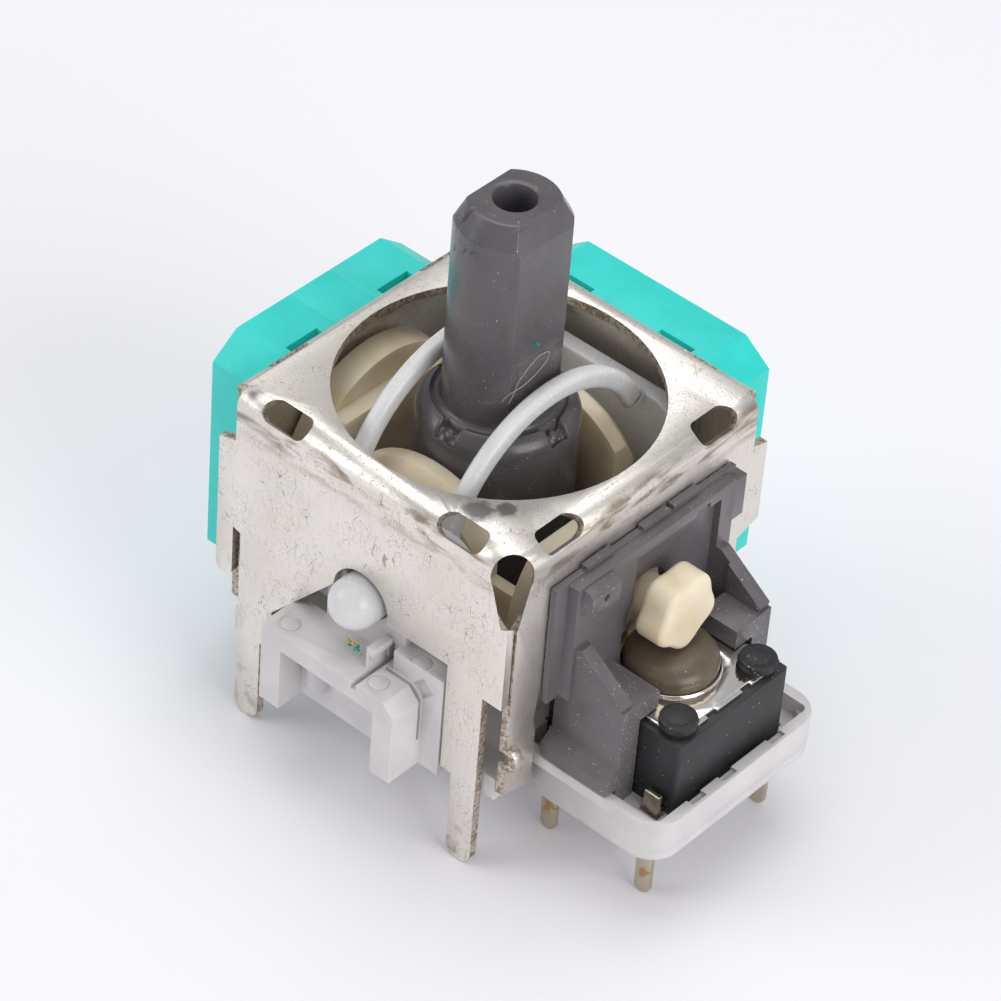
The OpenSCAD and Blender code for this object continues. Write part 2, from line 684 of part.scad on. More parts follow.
module lower_arm() {
    edge = 0.5;
    wall_t = 0.7;
    ear_half = 3.05;
    wall_x = arm_half - wall_t;
    foot = axis_z - 2.6;
    knob_x = switch_x + 0.6 - knob_l;
    color([0.90, 0.84, 0.70]) difference() {
        union() {
            // Round ears, their outer edge sloped
            for (side = [-1, 1]) rotate([0, 0, side > 0 ? 0 : 180]) translate([0, ear_in, axis_z])
                rotate([-90, 0, 0]) intersection() {
                    union() {
                        cylinder(r = ear_r, h = ear_t - edge);
                        translate([0, 0, ear_t - edge]) cylinder(r1 = ear_r, r2 = ear_r - edge, h = edge);
                    }
                    cube([2 * ear_half, 20, 20], center = true);
                }
            // Round disc behind the wall on the sensor's side
            translate([-inner + 0.15, 0, axis_z]) rotate([0, 90, 0])
                cylinder(r = ear_out, h = inner - 0.15 - arm_half + eps);
            // Cross walls with a round back
            for (side = [-1, 1]) translate([side > 0 ? wall_x : -arm_half, 0, axis_z]) rotate([90, 0, 90])
                linear_extrude(wall_t) intersection() {
                    circle(ear_out, $fn = 64);
                    translate([-ear_out, -2.6]) square([2 * ear_out, 5.6]);
                }
            for (side = [-1, 1], end = [-1, 1])
                translate([end > 0 ? 2.6 : -wall_x - eps, side > 0 ? ear_in : -ear_in - 0.5, foot])
                    cube([wall_x - 2.6 + eps, 0.5, 3.4]);
            // Axle and tongue towards the sensor
            translate([-inner - 0.05, 0, axis_z]) rotate([0, 90, 0])
                cylinder(r = 1.4, h = inner + 0.05 - arm_half + eps);
            translate([-pot_in - 1.5, -tongue_t / 2, axis_z - tongue_w / 2])
                cube([pot_in + 1.5 - inner, tongue_t, tongue_w]);
            // Neck and knob towards the switch
            translate([arm_half - eps, 0, axis_z]) rotate([0, 90, 0]) cylinder(r = 1.2, h = arm_gap + 0.2);
            translate([arm_half - eps, 0, axis_z + neck_rise]) rotate([0, 90, 0])
                cylinder(r = neck_r, h = knob_x - arm_half + 0.1);
            translate([knob_x, 0, axis_z + knob_rise]) rotate([90, 0, 90])
                linear_extrude(knob_l) knob_outline();
        }
        translate([-10, -10, foot - 5]) cube([20, 20, 5]);
        translate([0, 0, axis_z]) rotate([90, 0, 0])
            cylinder(r = pivot_d / 2 + pivot_gap, h = 20, center = true);
    }
}

// An end plate of the upper arm, flat on top and open at the bottom, about the swing axis
module end_plate_outline() {
    low = 2;
    corner = 1.2;
    intersection() {
        translate([0, plate_rise / 2 - low]) rounded_rect([plate_w, plate_rise + 2 * low], corner);
        translate([-plate_w, -low]) square([2 * plate_w, plate_rise + low]);
    }
}

module upper_arm() {
    rail_end = 9.05;
    rail_mid = rail_in + rail_w / 2;
    color([0.93, 0.93, 0.92]) union() {
        for (side = [-1, 1]) {
            difference() {
                translate([side * rail_mid, 0, arch_z]) rotate([0, 90, 0]) rotate_extrude($fn = 96)
                    translate([arch_r + rail_t / 2, 0]) rounded_rect([rail_t, rail_w], 0.25);
                translate([-5, -10, arch_z - 12]) cube([10, 20, 12]);
                translate([-5, 0, arch_z - 1]) cube([10, 10, rail_end - arch_z + 1]);
            }
            // Where the rail's far end runs into the plate
            translate([side * rail_mid - rail_w / 2 + 0.02, 4.6, rail_end - 0.02])
                cube([rail_w - 0.04, end_in - 4.6 + 0.1, 0.7]);
        }
        for (side = [-1, 1]) rotate([0, 0, side > 0 ? 0 : 180]) translate([0, end_in + end_t, axis_z])
            rotate([90, 0, 0]) linear_extrude(end_t) end_plate_outline();
        // Axle with a domed end in the base's notch
        translate([0, -end_in, axis_z]) rotate([90, 0, 0]) cylinder(d = axle_d, h = half + 0.25 - end_in);
        translate([0, -half - 0.25, axis_z]) sphere(d = axle_d);
        // Axle and tongue towards the sensor
        translate([0, end_in, axis_z]) rotate([-90, 0, 0]) cylinder(r = 1.4, h = inner + 0.1 - end_in);
        translate([-tongue_t / 2, inner, axis_z - tongue_w / 2])
            cube([tongue_t, pot_in + 1.5 - inner, tongue_w]);
    }
}

frame_cover();
base();
switch_holder();
switch_body();
switch_cover_plate();
switch_plunger();
switch_snap_dome();
switch_terminal_near();
switch_terminal_far();
x_sensor_housing();
x_sensor_element();
x_sensor_pins();
x_sensor_rotor();
x_sensor_wiper();
y_sensor_housing();
y_sensor_element();
y_sensor_pins();
y_sensor_rotor();
y_sensor_wiper();
stick();
return_spring();
return_disc();
lower_arm();
upper_arm();
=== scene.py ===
"""Looks of a two-axis analog stick module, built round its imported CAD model.

Every length in the classes below is in millimetres in the model's own frame: +Z is up along the stick,
+X points to the push switch, and the origin lies in the board plane below the stick's pivot.
"""

from __future__ import annotations

import logging
import math
from dataclasses import dataclass
from enum import Enum
from typing import Callable, Iterable, Sequence, Union

import bmesh
import bpy
import numpy as np
from mathutils import Matrix, Vector

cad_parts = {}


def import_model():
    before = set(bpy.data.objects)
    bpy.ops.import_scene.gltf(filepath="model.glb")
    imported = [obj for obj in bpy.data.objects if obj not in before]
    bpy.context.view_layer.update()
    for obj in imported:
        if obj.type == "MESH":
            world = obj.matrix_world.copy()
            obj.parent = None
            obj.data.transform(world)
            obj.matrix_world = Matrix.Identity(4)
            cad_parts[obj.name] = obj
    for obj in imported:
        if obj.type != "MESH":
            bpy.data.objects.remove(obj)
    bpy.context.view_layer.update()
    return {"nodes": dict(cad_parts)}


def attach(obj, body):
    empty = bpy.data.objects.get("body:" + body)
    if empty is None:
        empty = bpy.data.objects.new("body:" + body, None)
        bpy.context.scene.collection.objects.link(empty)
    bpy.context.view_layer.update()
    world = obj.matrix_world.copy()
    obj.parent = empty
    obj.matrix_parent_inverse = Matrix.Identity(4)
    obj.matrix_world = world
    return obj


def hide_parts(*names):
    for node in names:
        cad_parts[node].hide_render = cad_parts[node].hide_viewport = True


LOG = logging.getLogger("stick_module")
MM = 0.001
MERGE_GAP = 0.0008
LEVEL_ANGLE = 0.5
SHARP_ANGLE = 32.0
ABOUT_A_TURN = 6.28

Colour = tuple[float, float, float]
Number = Union[int, float]


class Wear(Enum):
    """How strongly a surface shows its handling."""

    LIGHT = 0.5
    USED = 1.0


# Shader expressions


def srgb(red: int, green: int, blue: int) -> Colour:
    """Linear colour of an 8-bit display colour.

    Args:
        red: Red, 0 to 255.
        green: Green, 0 to 255.
        blue: Blue, 0 to 255.

    Returns:
        The three linear components.
    """
    parts = np.array([red, green, blue]) / 255.0
    linear = np.where(parts <= 0.04045, parts / 12.92, ((parts + 0.055) / 1.055) ** 2.4)
    return tuple(float(part) for part in linear)


class Sig:
    """An output socket on which arithmetic adds Math nodes."""

    def __init__(self, net: "Net", socket: bpy.types.NodeSocket) -> None:
        """Keeps the tree and the socket.

        Args:
            net: The tree that the socket is in.
            socket: The output socket.
        """
        self.net = net
        self.socket = socket

    def _math(self, kind: str, first: "Value", second: "Value" = 0.0) -> "Sig":
        """One Math node.

        Args:
            kind: The operation.
            first: Left value.
            second: Right value.

        Returns:
            The node's output.
        """
        return self.net.add("ShaderNodeMath", {"operation": kind}, {0: first, 1: second})

    def __add__(self, other: "Value") -> "Sig":
        """Sum."""
        return self._math("ADD", self, other)

    def __radd__(self, other: "Value") -> "Sig":
        """Sum with the number first."""
        return self._math("ADD", other, self)

    def __sub__(self, other: "Value") -> "Sig":
        """Difference."""
        return self._math("SUBTRACT", self, other)

    def __rsub__(self, other: "Value") -> "Sig":
        """Difference from a number."""
        return self._math("SUBTRACT", other, self)

    def __mul__(self, other: "Value") -> "Sig":
        """Product."""
        return self._math("MULTIPLY", self, other)

    def __rmul__(self, other: "Value") -> "Sig":
        """Product with the number first."""
        return self._math("MULTIPLY", other, self)

    def largest(self, other: "Value") -> "Sig":
        """The larger of two values."""
        return self._math("MAXIMUM", self, other)

    def step(self, low: float, high: float) -> "Sig":
        """Smooth step from 0 at low to 1 at high; high may be the smaller.

        Args:
            low: Value that gives 0.
            high: Value that gives 1.

        Returns:
            The eased value.
        """
        settings = {"interpolation_type": "SMOOTHSTEP"}
        if low <= high:
            return self.net.add("ShaderNodeMapRange", settings, {0: self, 1: low, 2: high, 3: 0.0, 4: 1.0})
        return self.net.add("ShaderNodeMapRange", settings, {0: self, 1: high, 2: low, 3: 1.0, 4: 0.0})


Value = Union[Number, Sig]


class Net:
    """A material's node tree, with one method for any node."""

    def __init__(self, name: str) -> None:
        """Makes an empty material.

        Args:
            name: The material's name.
        """
        self.material = bpy.data.materials.new(name)
        self.material.use_nodes = True
        self.tree = self.material.node_tree
        self.tree.nodes.clear()

    def node(self, kind: str, settings: dict | None = None, inputs: dict | None = None) -> bpy.types.Node:
        """Adds a node, sets it up, then fills its sockets.

        Args:
            kind: The node's type name.
            settings: Properties to set, such as an operation.
            inputs: Values or links, by socket name or number.

        Returns:
            The node.
        """
        made = self.tree.nodes.new(kind)
        for key, value in (settings or {}).items():
            setattr(made, key, value)
        for key, value in (inputs or {}).items():
            if isinstance(value, Sig):
                self.tree.links.new(value.socket, made.inputs[key])
            elif isinstance(value, tuple) and len(value) == 3 and made.inputs[key].type == "RGBA":
                made.inputs[key].default_value = (*value, 1.0)
            else:
                made.inputs[key].default_value = value
        return made

    def add(self, kind: str, settings: dict | None = None, inputs: dict | None = None,
            output: str | int = 0) -> Sig:
        """Adds a node and gives one of its outputs.

        Args:
            kind: The node's type name.
            settings: Properties to set.
            inputs: Values or links.
            output: Which output.

        Returns:
            The output as an expression.
        """
        return Sig(self, self.node(kind, settings, inputs).outputs[output])

    def place(self, stretch: Sequence[float] = (1.0, 1.0, 1.0)) -> Sig:
        """Object coordinates in millimetres.

        Args:
            stretch: How often a pattern repeats along each axis, against once.

        Returns:
            The vector.
        """
        where = self.add("ShaderNodeTexCoord", None, None, "Object")
        scale = tuple(part / MM for part in stretch)
        return self.add("ShaderNodeVectorMath", {"operation": "MULTIPLY"}, {0: where, 1: scale})

    def part(self, axis: str) -> Sig:
        """One object coordinate in millimetres."""
        return self.add("ShaderNodeSeparateXYZ", None, {0: self.place()}, axis)

    def noise(self, where: Sig, scale: float, detail: float = 2.0, twist: float = 0.0) -> Sig:
        """Noise from 0 to 1.

        Args:
            where: The vector it is read at.
            scale: Cells per millimetre.
            detail: Octaves.
            twist: Distortion.

        Returns:
            The value.
        """
        inputs = {"Vector": where, "Scale": scale, "Detail": detail, "Distortion": twist}
        return self.add("ShaderNodeTexNoise", None, inputs)

    def specks(self, scale: float, size: float, share: float) -> Sig:
        """Sparse round specks: cells whose centre is near, of which a share is kept.

        Args:
            scale: Cells per millimetre.
            size: Radius of a speck in cells.
            share: Share of the cells that have a speck.

        Returns:
            1 on a speck, 0 off it.
        """
        where = self.place()
        cells = self.node("ShaderNodeTexVoronoi", None, {"Vector": where, "Scale": scale})
        near = Sig(self, cells.outputs["Distance"]).step(size, size * 0.6)
        pick = self.add("ShaderNodeSeparateXYZ", None, {0: Sig(self, cells.outputs["Color"])})
        return near * pick.step(1.0 - share, 1.0 - share + 0.01)

    def hairs(self, where: Sig, scale: float, width: float) -> Sig:
        """Fine curved scratches: thin bands where a noise passes its middle value.

        Args:
            where: The vector it is read at.
            scale: Cells per millimetre.
            width: Half width of a band, as a part of the noise's range.

        Returns:
            1 on a scratch, 0 off it.
        """
        off = self.noise(where, scale, 1.0, 0.4) - 0.5
        return off.largest(0.0 - off).step(width, width * 0.3)

    def blot(self, centre: Sequence[float], radius: float) -> Sig:
        """A ragged round patch about a point.

        Args:
            centre: The point in millimetres.
            radius: Where it ends.

        Returns:
            1 in the middle, 0 outside.
        """
        where = self.place()
        ragged = self.add("ShaderNodeVectorMath", {"operation": "SUBTRACT"}, {0: where, 1: tuple(centre)})
        length = self.add("ShaderNodeVectorMath", {"operation": "LENGTH"}, {0: ragged}, "Value")
        return (length + 0.9 * radius * (self.noise(where, 2.2, 3.0) - 0.5)).step(radius, radius * 0.45)

    def mix(self, share: Value, under: Union[Colour, Sig], over: Union[Colour, Sig]) -> Sig:
        """Mixes two colours.

        Args:
            share: How much of the second shows.
            under: First colour.
            over: Second colour.

        Returns:
            The colour.
        """
        made = self.node("ShaderNodeMix", {"data_type": "RGBA"}, {0: share})
        for key, colour in ((6, under), (7, over)):
            if isinstance(colour, Sig):
                self.tree.links.new(colour.socket, made.inputs[key])
            else:
                made.inputs[key].default_value = (*colour, 1.0)
        return Sig(self, made.outputs[2])

    def bump(self, height: Sig, depth: float) -> Sig:
        """Bump of a given depth.

        Args:
            height: Height, 0 to 1.
            depth: Depth in millimetres that 1 stands for.

        Returns:
            The normal.
        """
        return self.add("ShaderNodeBump", None, {"Strength": 1.0, "Distance": depth * MM, "Height": height})

    def close(self, colour: Union[Colour, Sig], rough: Value, normal: Sig | None,
              fixed: dict[str, object] | None = None) -> bpy.types.Material:
        """Adds the Principled shader and the output.

        Args:
            colour: Base colour.
            rough: Roughness.
            normal: Normal, if it is bumped.
            fixed: Constant values of other sockets.

        Returns:
            The finished material.
        """
        inputs: dict[str, object] = {"Base Color": colour, "Roughness": rough}
        inputs.update(fixed or {})
        if normal is not None:
            inputs["Normal"] = normal
        shader = self.node("ShaderNodeBsdfPrincipled", None, inputs)
        output = self.node("ShaderNodeOutputMaterial")
        self.tree.links.new(shader.outputs[0], output.inputs[0])
        return self.material


@dataclass(frozen=True)
class Moulding:
    """A moulded plastic: its colour with soft clouds of a shaded copy of it (painted shade), scuffs, dust and
    a fine grain.
    """

    name: str
    colour: Colour
    shade: Colour
    rough: float = 0.45
    shade_share: float = 0.35
    scuff: Colour = (0.8, 0.8, 0.8)
    wear: Wear = Wear.LIGHT
    dust: float = 0.02
    dust_colour: Colour = (0.85, 0.82, 0.75)
    grain: float = 0.004
    glow: float = 0.0
    glow_depth: float = 0.5
    clear: float = 0.0
    shine: float = 0.5
    shade_cloud_scale: float = 0.55
    scratch_scale: float = 2.6
    speck_scale: float = 5.5
    fleck_scale: float = 11.0
    grain_scale: float = 16.0
    wave_scale: float = 2.2

    def material(self) -> bpy.types.Material:
        """Builds the node tree.

        Returns:
            The material.
        """
        net = Net(self.name)
        where = net.place()
        # Painted shade: the shaded copy of the colour, laid on in soft clouds at random places.
        shade_clouds = net.noise(where, self.shade_cloud_scale, 3.0, 0.3).step(0.35, 0.7)
        colour = net.mix(self.shade_share * shade_clouds, self.colour, self.shade)
        scratch = net.noise(net.place((1.0, 1.0, 7.0)), self.scratch_scale, 4.0, 0.4).step(0.66, 0.74)
        colour = net.mix(0.22 * self.wear.value * scratch, colour, self.scuff)
        fine = net.specks(self.speck_scale, 0.16, self.dust)
        flecks = net.specks(self.fleck_scale, 0.2, self.dust * 1.6)
        colour = net.mix(fine.largest(flecks), colour, self.dust_colour)
        rough = self.rough + 0.12 * (net.noise(where, 3.0, 2.0) - 0.5) + 0.1 * scratch
        height = net.noise(where, self.grain_scale, 3.0) + 0.8 * net.noise(where, self.wave_scale, 2.0)
        fixed: dict[str, object] = {"Specular IOR Level": self.shine}
        if self.glow:
            fixed.update({"Subsurface Weight": self.glow, "Subsurface Radius": (1.0, 0.85, 0.6),
                          "Subsurface Scale": self.glow_depth * MM})
        if self.clear:
            fixed["Transmission Weight"] = self.clear
        return net.close(colour, rough, net.bump(height, self.grain), fixed)


@dataclass(frozen=True)
class PlatedSheet:
    """Nickel-plated sheet: fine scratches, brown stains, folds with brown stains and a painted dark band, and
    dark blots at given places, some of them a painted reflection.
    """

    name: str
    colour: Colour = srgb(236, 231, 224)
    dull: Colour = srgb(200, 192, 182)
    stain_and_shade: Colour = srgb(138, 116, 92)
    mark: Colour = srgb(104, 92, 80)
    smudge_and_reflection: Colour = srgb(62, 62, 70)
    rough: float = 0.38
    relief: float = 0.01
    fold_low: tuple[float, float] = (9.4, 10.7)
    fold_high: tuple[float, float] = (11.45, 11.2)
    foot: tuple[float, float] = (0.2, -2.4)
    smudges_and_reflections: tuple[tuple[float, float, float, float], ...] = ()

    def material(self) -> bpy.types.Material:
        """Builds the node tree.

        Returns:
            The material.
        """
        net = Net(self.name)
        where = net.place()
        height = net.part("Z")
        soft = net.noise(where, 0.3, 2.0).step(0.3, 0.8)
        hairs = net.hairs(net.place((1.0, 1.0, 0.45)), 2.1, 0.006).largest(net.hairs(where, 4.1, 0.008))
        marks = hairs * net.noise(where, 0.8, 2.0).step(0.4, 0.56)
        drawn = net.noise(net.place((6.0, 6.0, 0.7)), 1.6, 3.0, 0.2)
        pits = net.specks(3.4, 0.1, 0.12)
        colour = net.mix(0.25 * soft, self.colour, self.dull)
        colour = net.mix(0.3 * drawn.step(0.55, 0.8), colour, self.dull)
        # Round the folds: brown stains and painted shade, a dark band in noisy patches below the folds'
        # highlight.
        band = height.step(*self.fold_low) * height.step(*self.fold_high)
        smear_and_shade = net.noise(net.place((0.35, 0.35, 1.6)), 1.5, 4.0, 0.6).step(0.44, 0.68)
        feet = height.step(*self.foot) * net.noise(where, 1.4, 3.0).step(0.5, 0.68)
        colour = net.mix((0.8 * band * smear_and_shade).largest(0.4 * feet), colour, self.stain_and_shade)
        colour = net.mix((0.55 * marks).largest(0.7 * pits), colour, self.mark)
        rough = self.rough + 0.1 * soft + 0.14 * (drawn - 0.5) + 0.12 * marks
        # Dark blots at given places; on the cover the first two are a painted reflection of the stick.
        for x, y, z, radius in self.smudges_and_reflections:
            spot = net.blot((x, y, z), radius)
            colour = net.mix(0.75 * spot, colour, self.smudge_and_reflection)
            rough = rough + 0.1 * spot
        relief = 0.6 * drawn + net.noise(where, 1.1, 2.0) - 0.5 * hairs - pits
        return net.close(colour, rough, net.bump(relief, self.relief), {"Metallic": 1.0})


@dataclass(frozen=True)
class RawEdge:
    """Sheared edge of the plated sheet: rough, brownish metal."""

    name: str
    colour: Colour = srgb(206, 196, 184)
    dark: Colour = srgb(150, 136, 122)
    relief: float = 0.015

    def material(self) -> bpy.types.Material:
        """Builds the node tree.

        Returns:
            The material.
        """
        net = Net(self.name)
        where = net.place()
        grit = net.noise(where, 5.0, 5.0, 0.8)
        colour = net.mix(grit.step(0.42, 0.62), self.colour, self.dark)
        return net.close(colour, 0.42 + 0.3 * grit, net.bump(grit, self.relief), {"Metallic": 0.85})


@dataclass(frozen=True)
class BrightMetal:
    """Small bright or tinned metal part, darker or coppery where its coat is thin."""

    name: str
    colour: Colour = srgb(222, 216, 208)
    bare: Colour = srgb(160, 110, 72)
    bare_share: float = 0.15
    rough: float = 0.22
    relief: float = 0.003

    def material(self) -> bpy.types.Material:
        """Builds the node tree.

        Returns:
            The material.
        """
        net = Net(self.name)
        where = net.place()
        thin = net.noise(where, 1.3, 4.0, 0.6).step(0.78 - self.bare_share, 0.86 - self.bare_share)
        colour = net.mix(0.85 * thin, self.colour, self.bare)
        fine = net.noise(net.place((1.0, 1.0, 9.0)), 2.5, 3.0)
        rough = self.rough + 0.18 * thin + 0.14 * (fine - 0.5)
        return net.close(colour, rough, net.bump(fine, self.relief), {"Metallic": 1.0})


# Surfaces from arrays


def as_object(name: str, vertices: np.ndarray, faces: Iterable[Sequence[int]],
              smooth: bool = True) -> bpy.types.Object:
    """Puts arrays into a mesh.

    Args:
        name: Name of the piece.
        vertices: Points in millimetres, one row each.
        faces: Vertex numbers of each face.
        smooth: Whether it is shaded smooth.

    Returns:
        The object, at the origin.
    """
    mesh = bpy.data.meshes.new(name)
    mesh.from_pydata((vertices * MM).tolist(), [], [tuple(map(int, face)) for face in faces])
    if smooth:
        mesh.polygons.foreach_set("use_smooth", np.ones(len(mesh.polygons), dtype=bool))
    mesh.update()
    made = bpy.data.objects.new(name, mesh)
    bpy.context.scene.collection.objects.link(made)
    return made


def grid_faces(rows: int, columns: int, round_columns: bool = True) -> np.ndarray:
    """Quads of a grid of points, each row joined to the next.

    Args:
        rows: Number of rows.
        columns: Points per row.
        round_columns: Whether the last column joins the first.

    Returns:
        One row of four vertex numbers for each quad.
    """
    across = columns if round_columns else columns - 1
    row, column = np.meshgrid(np.arange(rows - 1), np.arange(across), indexing="ij")
    after = (column + 1) % columns
    here, above = row * columns, (row + 1) * columns
    return np.stack([here + column, here + after, above + after, above + column], axis=-1).reshape(-1, 4)


@dataclass
class Shell:
    """Vertices and faces of one closed skin, before it becomes an object."""

    vertices: np.ndarray
    faces: list[Sequence[int]]

    def __add__(self, other: "Shell") -> "Shell":
        """Both skins in one mesh."""
        shift = len(self.vertices)
        moved = [tuple(int(number) + shift for number in face) for face in other.faces]
        return Shell(np.vstack([self.vertices, other.vertices]), list(self.faces) + moved)

    def turned(self, matrix: np.ndarray, shift: Sequence[float] = (0.0, 0.0, 0.0)) -> "Shell":
        """The skin turned by a 3 by 3 matrix, then moved.

        Args:
            matrix: The turn; its columns are where the axes go.
            shift: The move in millimetres.

        Returns:
            The moved skin.
        """
        return Shell(self.vertices @ matrix.T + np.array(shift), self.faces)


def lofted(rings: np.ndarray) -> Shell:
    """Skin through rings of points, closed by a flat cap at each end.

    Args:
        rings: Array of rings, points and coordinates. Rings run anticlockwise seen from the last one.

    Returns:
        The skin.
    """
    count, columns = rings.shape[:2]
    faces: list[Sequence[int]] = [tuple(face) for face in grid_faces(count, columns)]
    faces.append(tuple(range(columns - 1, -1, -1)))
    faces.append(tuple(range((count - 1) * columns, count * columns)))
    return Shell(rings.reshape(-1, 3), faces)


def turned_skin(profile: np.ndarray, steps: int,
                change: Callable[[np.ndarray], np.ndarray] | None = None) -> Shell:
    """Surface of revolution: each profile point (radius, height) goes round the Z axis.

    Args:
        profile: Points from one pole to the other, upwards on the outside.
        steps: Points round the axis.
        change: Optional change of the finished points.

    Returns:
        The skin, with a point at each pole.
    """
    angle = np.linspace(0.0, 2.0 * np.pi, steps, endpoint=False)
    radius, height = profile[1:-1, 0], profile[1:-1, 1]
    grid = np.stack([radius[:, None] * np.cos(angle), radius[:, None] * np.sin(angle),
                     np.repeat(height[:, None], steps, axis=1)], axis=-1)
    points = grid.reshape(-1, 3)
    if change is not None:
        points = change(points)
    rows = len(radius)
    start, end = rows * steps, rows * steps + 1
    poles = np.array([[0.0, 0.0, profile[0, 1]], [0.0, 0.0, profile[-1, 1]]])
    faces: list[Sequence[int]] = [tuple(face) for face in grid_faces(rows, steps)]
    nxt = (np.arange(steps) + 1) % steps
    faces += [(start, int(nxt[i]), i) for i in range(steps)]
    faces += [(end, (rows - 1) * steps + i, (rows - 1) * steps + int(nxt[i])) for i in range(steps)]
    return Shell(np.vstack([points, poles]), faces)


def rounded_prism(outline: np.ndarray, low: float, high: float, edge: float, steps: int = 4) -> Shell:
    """Outline carried up from low to high, drawn in by a quarter round at both ends.

    Args:
        outline: Points (x, y), anticlockwise.
        low: Lower height.
        high: Upper height.
        edge: Radius of the rounding.
        steps: Rings in each rounding.

    Returns:
        The skin.
    """
    ahead = np.roll(outline, -1, axis=0) - np.roll(outline, 1, axis=0)
    outward = np.stack([ahead[:, 1], -ahead[:, 0]], axis=1)
    outward /= np.linalg.norm(outward, axis=1, keepdims=True)
    bend = np.linspace(0.0, np.pi / 2, steps + 1)
    inset = np.concatenate([edge * (1 - np.sin(bend)), edge * (1 - np.cos(bend))])
    height = np.concatenate([low + edge * (1 - np.cos(bend)), high - edge * (1 - np.sin(bend))])
    flat = outline[None] - inset[:, None, None] * outward[None]
    rings = np.concatenate([flat, np.repeat(height[:, None, None], len(outline), axis=1)], axis=-1)
    return lofted(rings)


def swept(path: np.ndarray, section: np.ndarray, side: np.ndarray) -> Shell:
    """A section carried along a path, its first axis along side and its second across both.

    Args:
        path: Points of the path.
        section: Points (a, b) of the section.
        side: One vector for all points, or one for each.

    Returns:
        The skin.
    """
    ahead = np.gradient(path, axis=0)
    ahead /= np.linalg.norm(ahead, axis=1, keepdims=True)
    across = np.broadcast_to(side, path.shape)
    up = np.cross(ahead, across)
    up /= np.linalg.norm(up, axis=1, keepdims=True)
    across = np.cross(up, ahead)
    rings = path[:, None] + section[None, :, :1] * across[:, None] + section[None, :, 1:] * up[:, None]
    return lofted(rings)


def disc_outline(radius: float, count: int = 96) -> np.ndarray:
    """Points round a circle, anticlockwise."""
    angle = np.linspace(0.0, 2.0 * np.pi, count, endpoint=False)
    return radius * np.stack([np.cos(angle), np.sin(angle)], axis=1)


def super_outline(width: float, height: float, power: float, count: int = 40) -> np.ndarray:
    """Rounded box outline: |x / a| ** power + |y / b| ** power = 1.

    Args:
        width: Width over all.
        height: Height over all.
        power: 2 is an ellipse, larger is squarer.
        count: Number of points.

    Returns:
        The points, anticlockwise.
    """
    angle = np.linspace(0.0, 2.0 * np.pi, count, endpoint=False)
    cos, sin = np.cos(angle), np.sin(angle)
    size = (np.abs(cos) ** power + np.abs(sin) ** power) ** (-1.0 / power)
    return np.stack([width / 2 * size * cos, height / 2 * size * sin], axis=1)


def ease(values: np.ndarray, low: float, high: float) -> np.ndarray:
    """Smooth step of an array from 0 at low to 1 at high."""
    share = np.clip((values - low) / (high - low), 0.0, 1.0)
    return share * share * (3.0 - 2.0 * share)


def along(points: Sequence[Sequence[float]], spacing: float) -> np.ndarray:
    """Straight pieces between points, cut into steps of about the given spacing.

    Args:
        points: Corner points.
        spacing: Largest step.

    Returns:
        The finer points.
    """
    corners = np.array(points, dtype=float)
    pieces = []
    for start, end in zip(corners[:-1], corners[1:]):
        count = max(1, int(np.ceil(np.linalg.norm(end - start) / spacing)))
        pieces.append(start + (end - start) * np.linspace(0.0, 1.0, count, endpoint=False)[:, None])
    return np.vstack([*pieces, corners[-1:]])


AXIS_X = np.array([[0.0, 0.0, 1.0], [1.0, 0.0, 0.0], [0.0, 1.0, 0.0]])
AXIS_Y = np.array([[1.0, 0.0, 0.0], [0.0, 0.0, 1.0], [0.0, -1.0, 0.0]])


